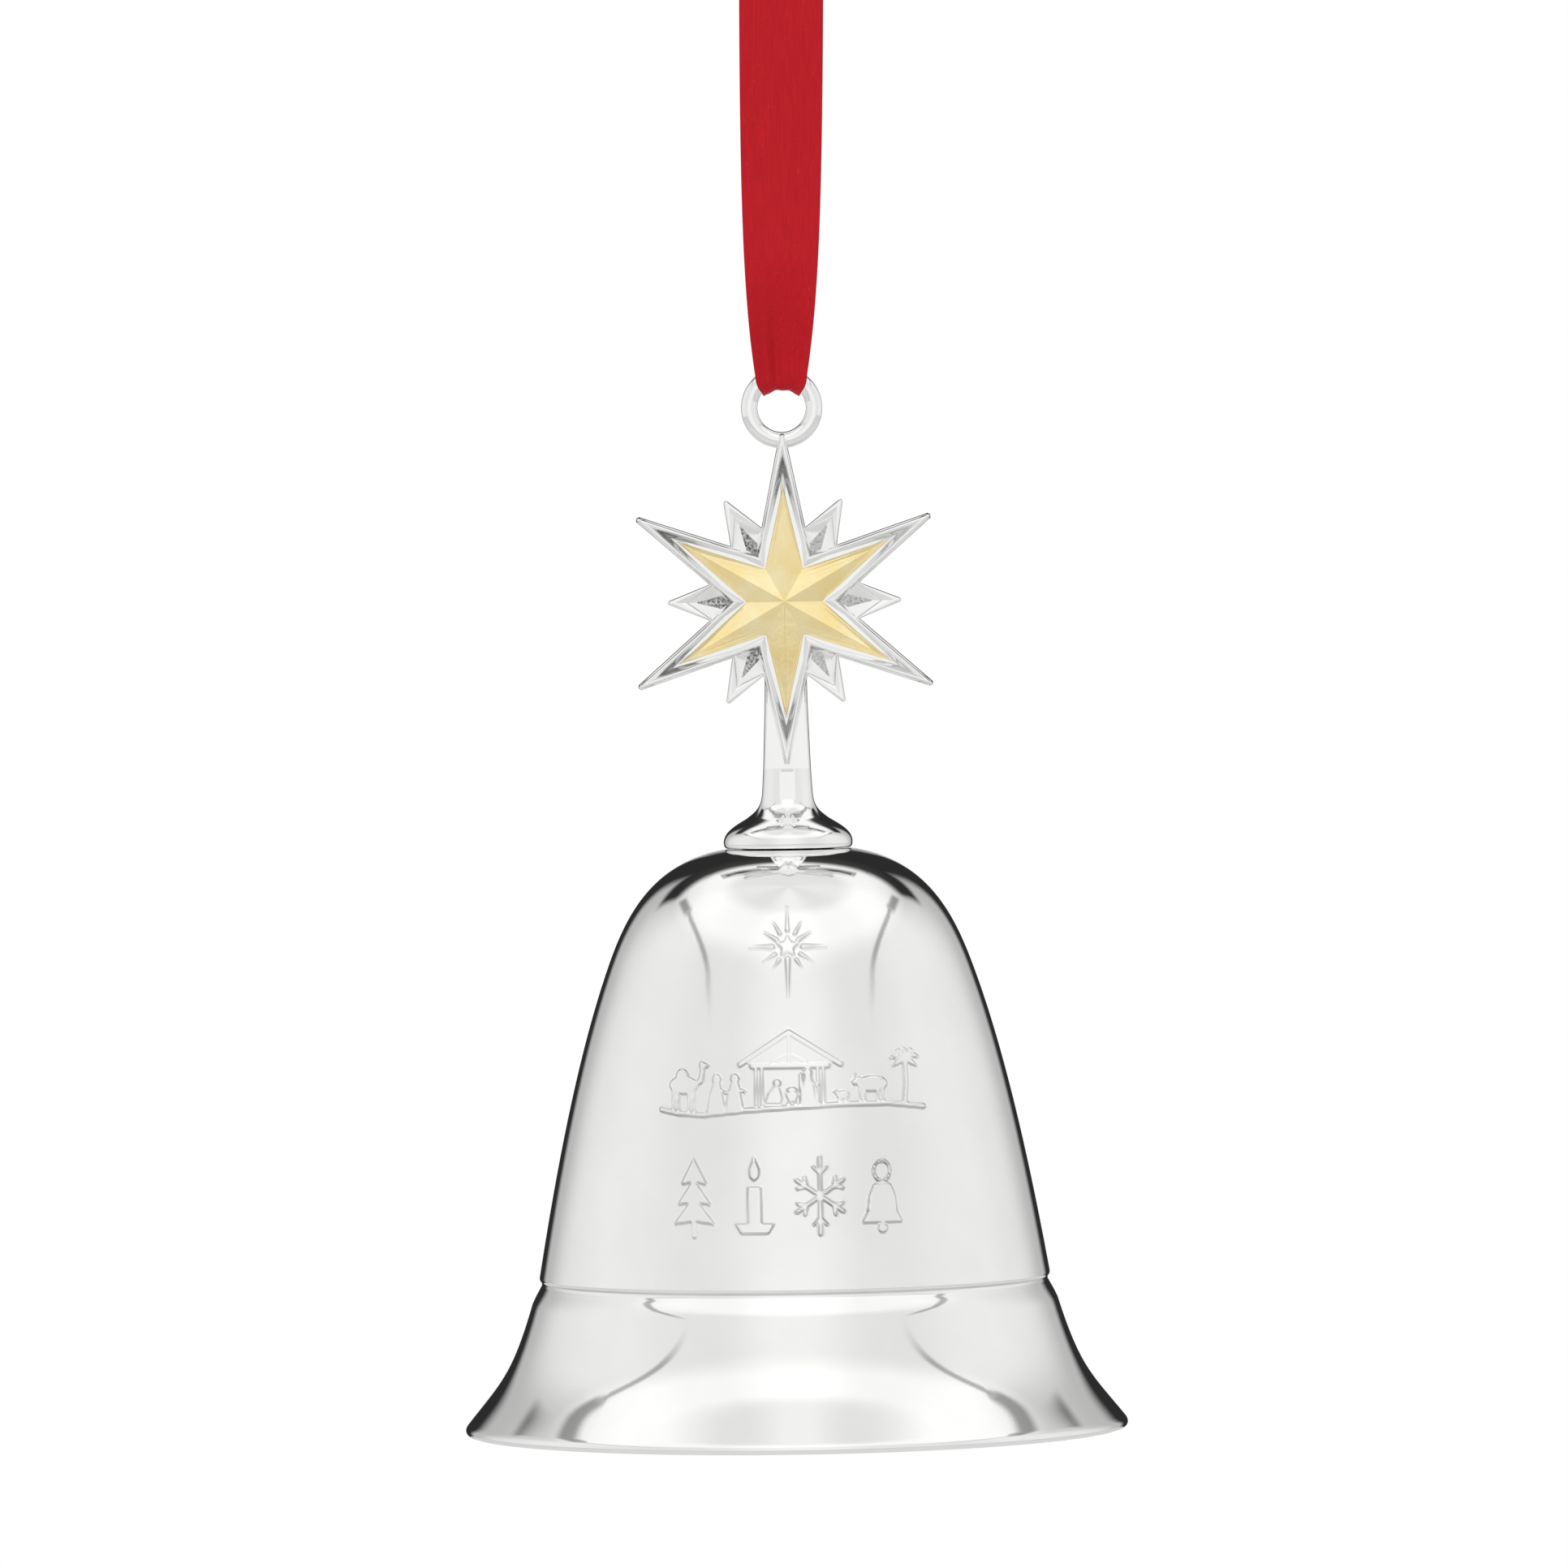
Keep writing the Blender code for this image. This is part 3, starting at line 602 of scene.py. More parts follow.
# Each row: how far in from the sharp end of a long point and the height there, then the
# distance and height at the corner beside it, and at a short point.
FRONT_STATIONS = (
    (0.0, 0.9, 8.6, 0.5, 13.45, 0.45),
    (0.0, 1.3, 8.6, 0.8, 13.45, 0.8),
    (0.22, 1.75, 8.5, 1.05, 13.25, 1.05),
    (0.4, 1.95, 8.42, 1.12, 12.9, 1.16),
    (0.53, 2.0, 8.36, 1.12, 12.0, 1.16),
    (0.66, 2.05, 8.3, 1.08, 10.9, 0.88),
    (0.79, 2.1, 8.24, 1.02, 10.2, 0.7),
    (0.88, 2.1, 8.2, 1.02, 6.4, 0.68),
    (1.0, 2.12, 8.15, 1.3, 6.1, 0.85),
    (1.2, 2.18, 8.05, 1.9, 5.85, 1.7),
    (1.54, 2.26, 7.9, 2.22, 5.65, 2.16),
    (2.1, 2.3, 7.7, 2.3, 5.4, 2.3),
    (2.75, 2.26, 7.5, 2.26, 5.2, 2.24),
    (3.6, 2.0, 7.3, 2.04, 4.98, 2.02),
    (4.6, 1.6, 7.1, 1.74, 4.72, 1.72),
    (5.55, 1.3, 6.96, 1.45, 4.5, 1.44),
    (5.7, 1.24, 6.93, 1.32, 4.46, 1.33),
    (5.8, 1.22, 6.9, 1.22, 4.42, 1.22),
)
BACK_STATIONS = FRONT_STATIONS[:15] + (
    (5.55, 1.62, 6.96, 1.6, 4.5, 1.6),
    (9.0, 2.1, 5.0, 1.95, 3.6, 1.8),
    (14.6, 2.72, 2.5, 2.62, 1.8, 2.5),
)
FRONT_SEAT = 1.22
BACK_PEAK = 3.0
# (station, how dark the plating is painted there): painted shade and dark reflections, most in the
# corners and round the outline.
PAINTED_SHADE_ROWS = (
    *((0, 0.5), (1, 0.4), (2, 0.0), (4, 0.0), (5, 0.3), (5.6, 0.0), (7, 0.0), (7.6, 0.5), (8.2, 0.45)),
    *((9, 0.0), (13, 0.0), (14, 0.22), (14.8, 0.3), (15.3, 0.5), (15.8, 0.1), (17, 0.1)),
)
# Painted shade and dark reflections in the narrow hollow just inside the tip of each long point: how
# dark, where along the rows, how much less on the right-hand points, and over how many columns.
TIP_PAINTED_SHADE = 0.62
TIP_HOLLOW = ((12.6, 0.0), (13.6, 1.0), (16.2, 1.0), (17.0, 0.3))
EAST_SPARED = ((0.0, 1.0), (0.8, 0.45))
TIP_COLUMNS = 5


def table_at(table, values):
    return np.interp(values, *zip(*table))


def star_painted_shade(rows, columns):
    """How dark the plating is painted over one face of the star: painted shade in its corners and tip
    hollows, less on the right-hand points.
    """
    station = np.arange(rows) / STATION_ROWS
    column = np.arange(columns)
    sixth = columns // 6
    near_tip = np.abs(column % sixth - sixth // 2) <= TIP_COLUMNS
    share = near_tip * table_at(EAST_SPARED, np.cos(2 * math.pi * column / columns))
    tips = TIP_PAINTED_SHADE * table_at(TIP_HOLLOW, station)[:, None] * share[None, :]
    return np.maximum(table_at(PAINTED_SHADE_ROWS, station)[:, None], tips)


def star_head(look):
    """The silver head: rolled borders round six long points, and six short points behind."""
    front = star_surface(FRONT_STATIONS, -1)
    back = star_surface(BACK_STATIONS, 1)
    rows = np.concatenate([back[::-1], front])
    count = rows.shape[1]
    points = rows.reshape(-1, 3)
    faces = grid_faces(len(rows), count)
    # A fan closes each face on its middle.
    for centre, first in enumerate((0, len(points) - count), start=len(points)):
        faces += [(first + i, first + (i + 1) % count, centre) for i in range(count)]
    middles = [(0.0, BACK_PEAK, z_of(STAR_H)), (0.0, -FRONT_SEAT, z_of(STAR_H))]
    made = mesh_object("star_head", np.concatenate([points, middles]), faces, look)
    # Painted shade on both faces of the star, stored for its plating.
    shade_weights = star_painted_shade(len(front), count)
    mark_painted_shade(made, np.append(np.concatenate([shade_weights[::-1], shade_weights]), [0.0, 0.0]))
    sharpen(made, 50)
    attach(made, "bell")
    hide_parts("star_frame")


def star_panels(look):
    """The pebbled kite-shaped faces let into the six short points, front and back."""
    kite = ((9.7, 0.0), (7.05, 0.72), (6.1, 0.0), (7.05, -0.72))
    faces = [(0, 1, 2, 3), (7, 6, 5, 4)] + [(i, i + 4, (i + 1) % 4 + 4, (i + 1) % 4) for i in range(4)]
    parts = []
    for k in range(6):
        c, s = math.cos(math.radians(60.0 * k)), math.sin(math.radians(60.0 * k))
        outline = [(r * c - w * s, z_of(STAR_H) + r * s + w * c) for r, w in kite]
        for side in (-1, 1):
            points = [(x, side * depth, z) for depth in (0.6, 0.82) for x, z in outline]
            parts.append((points, faces if side > 0 else [f[::-1] for f in faces]))
    made = mesh_object("star_panels", *join_parts(parts), look, smooth=False)
    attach(made, "bell")


def star_neck(look):
    """The top of the stem where it runs up behind the star, cut flat under the lowest point."""
    profile = np.concatenate([smooth_line(NECK_LINE, 5), [(NEAR_ZERO, NECK_JOINT_H)]])
    points, faces = lathe_part(profile, 120)
    points[:, 1] = np.maximum(points[:, 1], -NECK_FRONT)
    made = mesh_object("star_neck", points, faces, look)
    sharpen(made, 40)
    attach(made, "bell")


GOLD_R = 13.7
GOLD_UPRIGHT_R = 13.0
GOLD_NOTCH_R = 4.25
GOLD_BACK = 1.32
GOLD_FACE = 1.76
GOLD_PEAK = 3.5
GOLD_INSET = 0.985


def gold_face(look):
    """Six long gold points, each folded along its middle, with valleys between them."""
    rim = []
    for k in range(12):
        reach = GOLD_UPRIGHT_R if k in (3, 9) else GOLD_R
        rim.append(polar(reach if k % 2 else GOLD_NOTCH_R, 30.0 * k))
    points = []
    for scale, y in ((1.0, GOLD_BACK), (1.0, 1.62), (GOLD_INSET, 1.74)):
        points += [(x * scale, -y, z_of(STAR_H) + z * scale) for x, z in rim]
    per_edge = 6
    for step in range(1, per_edge):
        t = step / per_edge
        for k, (x, z) in enumerate(rim):
            peak = GOLD_FACE + (GOLD_PEAK - GOLD_FACE) * t ** (0.85 if k % 2 else 1.0)
            points.append((x * GOLD_INSET * (1 - t), -peak, z_of(STAR_H) + z * GOLD_INSET * (1 - t)))
    rows = 3 + per_edge - 1
    faces = grid_faces(rows, 12)
    centre = len(points)
    points.append((0.0, -GOLD_PEAK, z_of(STAR_H)))
    points.append((0.0, -GOLD_BACK, z_of(STAR_H)))
    last = 12 * (rows - 1)
    faces += [(last + k, last + (k + 1) % 12, centre) for k in range(12)]
    faces += [((k + 1) % 12, k, centre + 1) for k in range(12)]
    made = mesh_object("gold_face", points, faces, look, smooth=False)
    soften = made.modifiers.new("soft edges", "BEVEL")
    soften.width = 0.00009
    soften.segments = 2
    soften.limit_method = "ANGLE"
    soften.angle_limit = math.radians(9)
    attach(made, "bell")
    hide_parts("gold_star")
    return made


def ring(look):
    wire = torus_part(RING_CENTRE_H, RING_R, RING_WIRE_R, "XZ", 128, 36)
    made = mesh_object("hanging_loop_ring", *wire, look)
    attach(made, "bell")
    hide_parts("hanging_ring")


# ---------------------------------------------------------------- fittings inside the bell
BOLT_TOP = 71.0
BOLT_END = 59.35
BOLT_PITCH = 0.5
BOLT_R = 1.44
THREAD_DEPTH = 0.26
BOLT_NECK = ((1.0, 59.2), (0.85, 58.9), (NEAR_ZERO, 58.85))
BOLT_EYE_H = 56.9
LINK_CENTRE_H = 53.68
CLAPPER_EYE_H = 50.41
EYE_R = 2.2
BALL_H = 9.0
BALL_R = 5.5
BALL_HOLE_R = 0.97
NUT_TOP = 62.51
NUT_HALF = 2.75
# Each row of the nut's blank: its radius and how far it lies under the nut's top.
NUT_CORNER = 5.5 / math.sqrt(3.0)
NUT_ROWS = (
    *((1.56, 0.0), (2.7, 0.0), (2.82, 0.03), (NUT_CORNER, 0.24), (NUT_CORNER, 2.16)),
    *((2.82, 2.37), (2.7, 2.4), (1.75, 2.4), (1.56, 2.2)),
)
WASHER_LINE = (
    *((1.6, 63.07), (3.4, 63.07), (3.48, 63.01), (3.5, 62.93)),
    *((3.5, 62.67), (3.42, 62.57), (1.7, 62.57), (1.6, 62.65)),
)
ROD_LINE = (
    *((NEAR_ZERO, 48.56), (0.7, 48.5), (0.9, 48.2), (0.9, 30.0)),
    *((0.9, 14.55), (0.9, 6.7), (NEAR_ZERO, 6.5)),
)


def washer(look):
    made = mesh_object("crown_washer_ring", *lathe_part(WASHER_LINE, 96, closed=True), look)
    sharpen(made, 40)
    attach(made, "bell")
    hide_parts("crown_washer")


def nut(look):
    """A six-sided nut: the flats are cut from a turned blank with coned ends."""
    points, steps = [], 144
    for radius, drop in NUT_ROWS:
        for turn in round_turns(steps):
            off = (math.degrees(turn) + 30.0) % 60.0 - 30.0
            flat = NUT_HALF / math.cos(math.radians(30.0 - abs(off)))
            reach = min(radius, flat) if radius > 2.0 else radius
            points.append((reach * math.sin(turn), -reach * math.cos(turn), z_of(NUT_TOP - drop)))
    made = mesh_object("crown_nut", points, grid_faces(len(NUT_ROWS), steps, wrap_rows=True), look)
    sharpen(made, 25)
    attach(made, "bell")
    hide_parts("hex_nut")


def bolt(look):
    """A screw with a rolled thread that ends in a closed eye under the nut."""
    heights = np.arange(BOLT_TOP, BOLT_END, -BOLT_PITCH / 8)
    turns = round_turns(72)
    phase = (heights[:, None] / BOLT_PITCH - turns[None, :] / (2 * math.pi)) % 1.0
    radius = BOLT_R - THREAD_DEPTH * (1 - np.abs(2 * phase - 1))
    x, y = radius * np.sin(turns), -radius * np.cos(turns)
    threaded = np.stack([x, y, z_of(heights)[:, None] + 0 * x], axis=-1)
    top = lathe_points([(0.0, BOLT_TOP)], turns)
    shank = np.concatenate([top, threaded, lathe_points(BOLT_NECK, turns)])
    eye = torus_part(BOLT_EYE_H, EYE_R, 0.65, "XZ")
    parts = [(shank, grid_faces(len(shank), len(turns))), eye]
    made = mesh_object("clapper_eye_bolt", *join_parts(parts), look)
    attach(made, "bell")
    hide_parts("eye_bolt")


def link(look):
    made = mesh_object("clapper_link_ring", *torus_part(LINK_CENTRE_H, 2.3, 0.55, "YZ"), look)
    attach(made, "link")
    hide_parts("clapper_link")


def rod(look):
    """The clapper's wire under its eye."""
    parts = [lathe_part(ROD_LINE, 48), torus_part(CLAPPER_EYE_H, EYE_R, 0.6, "XZ")]
    made = mesh_object("clapper_wire", *join_parts(parts), look)
    sharpen(made, 60)
    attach(made, "clapper")
    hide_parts("clapper_rod")


def ball(look):
    """A turned ball with a fine seam line round its middle and a countersunk hole on top."""
    start = math.acos(1.15 / BALL_R)
    turns = np.linspace(start, -math.pi / 2 + 0.004, 96)
    reach = BALL_R - 0.05 * np.exp(-((turns / 0.02) ** 2))
    body = np.stack([reach * np.cos(turns), BALL_H + reach * np.sin(turns)], axis=1)
    hole = [(NEAR_ZERO, BALL_H - 2.6), (BALL_HOLE_R, BALL_H - 2.6), (BALL_HOLE_R, BALL_H + 5.1)]
    made = mesh_object("clapper_striker", *lathe_part(np.concatenate([hole, body]), 128), look)
    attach(made, "clapper")
    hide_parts("clapper_ball")


# ---------------------------------------------------------------- ribbon
RIBBON_WIDTH = 9.45
GATHERED_WIDTH = 5.8
GATHER_REACH = 11.8
RIBBON_THICK = 0.3
BAND_THICK = 0.2
FOLD_ROOM = 0.2
LOOP_HALF_GAP = 3.9
LEAN = 0.0152
KNOT_H = 3.95


def lean_at(rise):
    return LEAN * rise * (1 - blend((rise - 42.0) / 20.0))


def width_at(rise):
    """Full width above, gathered more and more down to the ring."""
    if rise < 0:
        return GATHERED_WIDTH - 2.1 * blend(-rise / 1.5)
    return RIBBON_WIDTH - (RIBBON_WIDTH - GATHERED_WIDTH) * math.exp(-rise / GATHER_REACH)


def fold_radius(x):
    return RING_WIRE_R + FOLD_ROOM + 0.17 * x * x + RIBBON_THICK / 2


def loop_stations(fine):
    """(kind, turn or rise, side) round the closed loop, from the fold's bottom."""
    fold = [90.0 - 90.0 * i / (6 * fine) for i in range(6 * fine + 1)]
    rises = np.concatenate([np.arange(0.25, 4.0, 0.5 / fine), np.arange(4.0, 58.5, 1.0 / fine)])
    top = [180.0 * i / (12 * fine) for i in range(1, 12 * fine)]
    found = [("fold", turn, -1) for turn in fold]
    found += [("strand", rise, -1) for rise in rises]
    found += [("top", turn, 0) for turn in top]
    found += [("strand", rise, 1) for rise in rises[::-1]]
    found += [("fold", turn, 1) for turn in fold[::-1][:-1]]
    return found


def pleat(u, rise, side):
    """Soft lengthwise pleats where the ribbon is gathered, fading out above."""
    depth = 0.16 * (1 - blend((rise - 1.0) / 11.0)) * blend((rise + 1.6) / 1.6)
    wave = math.sin(7.5 * u + 0.6 * side + 0.05 * rise) + 0.5 * math.sin(15.0 * u + 1.3 + 0.1 * rise)
    slack = 0.1 * blend(rise / 12.0) * math.sin(0.21 * rise + 0.8 * side) * (1 + 0.5 * u)
    return depth * wave * (1 - 0.3 * abs(u)) + slack


def loop_point(station, across, lift):
    """A point of the ribbon: across is -1 to 1 over the width, lift is out of the loop."""
    kind, value, side = station
    if kind == "fold":
        turn = math.radians(value)
        rise = -(RING_WIRE_R + 0.3) * math.sin(turn)
        x = across * width_at(rise) / 2
        sag = RING_R - math.sqrt(max(RING_R**2 - x * x, 0.0))
        reach = fold_radius(x) + lift + pleat(across, rise, side) * math.cos(turn)
        hang = 0.3 * max(1 - (x / 1.9) ** 2, 0.0) + 0.06 * math.sin(4.3 * x + 1.0)
        return (x, side * reach * math.cos(turn), -(0.6 * sag + reach + hang) * math.sin(turn))
    if kind == "top":
        turn = math.radians(value)
        reach = LOOP_HALF_GAP + lift
        rise = RIBBON_DROP + RIBBON_THICK / 2 - LOOP_HALF_GAP + reach * math.sin(turn)
        return (across * RIBBON_WIDTH / 2, -reach * math.cos(turn), rise)
    x = across * width_at(value) / 2
    start = fold_radius(x)
    waves = lift + pleat(across, value, side) * (1 - blend((value - 50.0) / 8.0))
    gap = start + (LOOP_HALF_GAP - start) * blend(value / 14.0) + waves
    return (x + lean_at(value), side * gap, value)


def round_strip(count):
    """(across, lift) round a strip's section: over the top, then back underneath."""
    over = [2 * i / count - 1 for i in range(count + 1)]
    return [(u, 0.5) for u in over] + [(u, -0.5) for u in over[::-1]]


def ribbon(look):
    """One band of satin with a thin selvedge, laid on the CAD ribbon's route."""
    section = round_strip(44)
    stations = loop_stations(2)
    points = []
    for station in stations:
        for u, lift in section:
            edge = 1.0 + 0.35 * math.exp(-(((1 - abs(u)) / 0.03) ** 2))
            x, y, rise = loop_point(station, u, lift * BAND_THICK * edge)
            points.append((x, y, rise - RIBBON_DROP))
    faces = grid_faces(len(stations), len(section), wrap_rows=True)
    made = mesh_object("satin_ribbon_loop", points, faces, look)
    route = [loop_point(s, 0.0, 0.0) for s in loop_stations(1)]
    middle = max(range(len(route)), key=lambda i: route[i][2])
    route = route[middle:] + route[:middle]
    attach(made, "ribbon")
    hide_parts("ribbon_loop")
    return made


def band_part(centre_line, halves, thick, side):
    """A strip of ribbon along a line, with a half width at each point and one side direction."""
    line = np.asarray(centre_line, float)
    along = np.gradient(line, axis=0)
    along /= np.linalg.norm(along, axis=1)[:, None]
    side = np.asarray(side, float) - along * (along @ side)[:, None]
    side /= np.linalg.norm(side, axis=1)[:, None]
    face = np.cross(along, side)
    section = round_strip(14)
    points = []
    for i, middle in enumerate(line):
        for u, lift in section:
            cup = 0.088 * (1 - u * u) * math.sin(0.9 * i)
            points.append(middle + side[i] * halves[i] * u + face[i] * (lift * thick + cup))
    around = len(section)
    faces = grid_faces(len(line), around)
    faces += [tuple(range(around)), tuple(reversed(range(len(points) - around, len(points))))]
    return points, faces


def knot(look):
    """The tied end above the loop: a pleated lump, a strip drawn round it and two cut tails."""
    rows, steps = 40, 96
    i = np.arange(rows + 1)[:, None] / rows
    turn = round_turns(steps)[None, :]
    ring_r = np.sin(math.pi * i) ** 0.9
    pleats = 1 + 0.035 * np.sin(9 * turn + 5.0 * i) * np.sin(math.pi * i)
    x = 4.3 * ring_r * np.cos(turn) * pleats
    y = 3.0 * ring_r * np.sin(turn) * pleats
    z = KNOT_H - (3.35 + 0.55 * (i < 0.5)) * np.cos(math.pi * i) + 0.12 * np.sin(6 * turn) * ring_r
    parts = [(np.stack([x, y, z], axis=-1), grid_faces(rows + 1, steps))]
    t = np.linspace(0.0, 2 * math.pi, 73)
    wrap = np.stack([4.45 * np.cos(t), 3.15 * np.sin(t), KNOT_H + 1.1 * np.sin(t + 0.5)], axis=1)
    parts.append(band_part(wrap, 1.75 + 0.25 * np.sin(2 * t), 0.3, (0.0, 0.0, 1.0)))
    t = np.linspace(-0.06, 1.0, 30)
    tail_half = 1.7 + 2.95 * blend(t / 0.5)
    for side in (-1, 1):
        x, y = side * (0.6 + 15.0 * t), 0.25 * np.sin(5 * t) * side
        tail = np.stack([x, y, KNOT_H + 1.5 + 11.0 * t - 9.5 * t * t], axis=1)
        parts.append(band_part(tail, tail_half, 0.25, (0.0, 1.0, 0.12 * side)))
    made = mesh_object("satin_knot", *join_parts(parts), look)
    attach(made, "ribbon")
    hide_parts("ribbon_knot")
    return made


# ---------------------------------------------------------------- materials
class Graph:
    """Shorthand for the nodes of one tree."""

    def __init__(self, tree):
        self.nodes = tree.nodes
        self.links = tree.links

    def put(self, socket, value):
        if isinstance(value, (int, float)):
            socket.default_value = value
        elif isinstance(value, tuple):
            socket.default_value = (*value, 1.0)
        else:
            self.links.new(value, socket)

    def math(self, operation, first, second=0.0):
        made = self.nodes.new("ShaderNodeMath")
        made.operation = operation
        self.put(made.inputs[0], first)
        self.put(made.inputs[1], second)
        return made.outputs[0]

    def times(self, first, second):
        return self.math("MULTIPLY", first, second)

    def plus(self, first, second):
        return self.math("ADD", first, second)

    def ranged(self, value, low, high, new_low, new_high, kind="LINEAR"):
        made = self.nodes.new("ShaderNodeMapRange")
        made.interpolation_type = kind
        ends = {"From Min": low, "From Max": high, "To Min": new_low, "To Max": new_high}
        for name, number in ends.items():
            made.inputs[name].default_value = number
        self.links.new(value, made.inputs["Value"])
        return made.outputs["Result"]

    def eased(self, value, low, high, new_low, new_high):
        return self.ranged(value, low, high, new_low, new_high, "SMOOTHSTEP")

    def mix(self, factor, first, second):
        made = self.nodes.new("ShaderNodeMix")
        made.data_type = "RGBA"
        self.links.new(factor, made.inputs["Factor"])
        for name, value in (("A", first), ("B", second)):
            self.put([s for s in made.inputs if s.name == name and s.type == "RGBA"][0], value)
        return [s for s in made.outputs if s.type == "RGBA"][0]

    def band(self, value, rise, top, fall, end):
        """1 between top and fall, easing to 0 at rise and at end."""
        up = self.eased(value, rise, top, 0.0, 1.0)
        return self.times(up, self.eased(value, fall, end, 1.0, 0.0))

    def split(self, vector):
        made = self.nodes.new("ShaderNodeSeparateXYZ")
        self.links.new(vector, made.inputs["Vector"])
        return made.outputs


class Look(Graph):
    """A material with its nodes at hand."""

    def __init__(self, name, **values):
        self.material = bpy.data.materials.new(name)
        self.material.use_nodes = True
        super().__init__(self.material.node_tree)
        self.shader = self.nodes["Principled BSDF"]
        self.place = self.nodes.new("ShaderNodeTexCoord").outputs["Object"]
        for key, value in values.items():
            self.shader.inputs[key.replace("_", " ")].default_value = value

    def drawn_out(self, z):
        """The place with its Z scaled: under 1 stretches a texture along Z."""
        made = self.nodes.new("ShaderNodeMapping")
        made.inputs["Scale"].default_value = (1.0, 1.0, z)
        self.links.new(self.place, made.inputs["Vector"])
        return made.outputs["Vector"]

    def noise(self, vector, scale, detail, rough):
        made = self.nodes.new("ShaderNodeTexNoise")
        made.inputs["Scale"].default_value = scale
        made.inputs["Detail"].default_value = detail
        made.inputs["Roughness"].default_value = rough
        self.links.new(vector, made.inputs["Vector"])
        return made.outputs["Fac"]

    def bump(self, value, distance):
        """Adds a bump of this depth in metres over those the shader already has."""
        made = self.nodes.new("ShaderNodeBump")
        made.inputs["Distance"].default_value = distance
        made.inputs["Strength"].default_value = 1.0
        self.links.new(value, made.inputs["Height"])
        before = self.shader.inputs["Normal"]
        if before.is_linked:
            self.links.new(before.links[0].from_socket, made.inputs["Normal"])
        self.links.new(made.outputs["Normal"], before)

    def feed(self, name, value):
        self.links.new(value, self.shader.inputs[name])


def darker(color, share):
    return tuple(c * share for c in color)


def polished(name, color, rough, sway, grain, with_painted_shade=False):
    """Plated metal: a near mirror with faint hand-polishing marks and a slow waviness, and painted
    shade where the mesh stores a shade weight.
    """
    look = Look(name, Metallic=1.0)
    cloudy = look.noise(look.place, 90.0, 4.0, 0.6)
    base = look.mix(look.ranged(cloudy, 0.35, 0.65, 0.0, 1.0), color, darker(color, 0.965))
    marks = look.noise(look.drawn_out(0.12), 5200.0, 2.0, 0.6)
    soft = look.ranged(look.plus(cloudy, look.times(marks, 0.5)), 0.5, 1.0, rough * 0.75, rough * 1.35)
    # Painted shade: the base colour darkens towards 0.3 of itself, and roughens a little, where the
    # mesh's stored shade weight is high.
    if with_painted_shade:
        edge = look.nodes.new("ShaderNodeAttribute")
        edge.attribute_name = "painted_shade_weight"
        painted_shade_mix = look.eased(edge.outputs["Fac"], 0.15, 0.75, 0.0, 1.0)
        painted_shade_mix = look.times(painted_shade_mix, look.ranged(cloudy, 0.35, 0.65, 0.55, 0.9))
        base = look.mix(painted_shade_mix, base, darker(color, 0.3))
        soft = look.plus(soft, look.times(painted_shade_mix, 0.12))
    look.feed("Base Color", base)
    look.feed("Roughness", soft)
    look.bump(look.noise(look.place, 55.0, 1.0, 0.4), sway)
    look.bump(marks, grain)
    return look.material


def gold_plate():
    """Pale gold plating on a slightly uneven casting, deeper in tone in slow patches."""
    look = Look("pale_gold_plate", Metallic=1.0)
    patches = look.noise(look.place, 260.0, 3.0, 0.6)
    fine = look.noise(look.place, 2400.0, 2.0, 0.5)
    base = look.mix(look.ranged(patches, 0.35, 0.65, 0.0, 1.0), (1.0, 0.87, 0.52), (0.97, 0.78, 0.37))
    look.feed("Base Color", base)
    look.feed("Roughness", look.ranged(fine, 0.3, 0.7, 0.1, 0.2))
    look.bump(patches, 0.00004)
    look.bump(fine, 0.000002)
    return look.material


def satin_metal(name, color, rough):
    """Turned or plated small hardware: satin, with fine machining lines."""
    look = Look(name, Metallic=1.0)
    lines = look.noise(look.drawn_out(14.0), 900.0, 3.0, 0.6)
    blotch = look.noise(look.place, 160.0, 3.0, 0.5)
    spread = look.ranged(blotch, 0.3, 0.7, 0.0, 1.0)
    look.feed("Base Color", look.mix(spread, color, darker(color, 0.88)))
    look.feed("Roughness", look.ranged(lines, 0.3, 0.7, rough * 0.8, rough * 1.3))
    look.bump(lines, 0.000003)
    return look.material


def panel_metal():
    """The sunken faces of the short star points: a fine pebbled grain, with painted light lightening
    and flattening it towards the right.
    """
    look = Look("pebbled_silver", Metallic=1.0)
    pebbles = look.noise(look.place, 3600.0, 2.0, 0.55)
    patches = look.noise(look.place, 420.0, 2.0, 0.5)
    shade = look.plus(look.times(pebbles, 0.9), look.times(patches, 0.3))
    grey = look.mix(look.ranged(shade, 0.46, 0.78, 0.0, 1.0), (0.1, 0.1, 0.1), (0.72, 0.72, 0.71))
    painted_light_right = look.mix(look.ranged(pebbles, 0.3, 0.7, 0.5, 0.9), grey, (0.62, 0.62, 0.61))
    # Painted light and shade: the panels on the right are painted lighter and flatter in tone, those on
    # the left keep the dark grain.
    to_right = look.ranged(look.split(look.place)["X"], -0.004, 0.003, 0.0, 1.0)
    look.feed("Base Color", look.mix(to_right, grey, painted_light_right))
    look.feed("Roughness", look.ranged(pebbles, 0.3, 0.7, 0.34, 0.22))
    look.bump(pebbles, 0.00002)
    return look.material


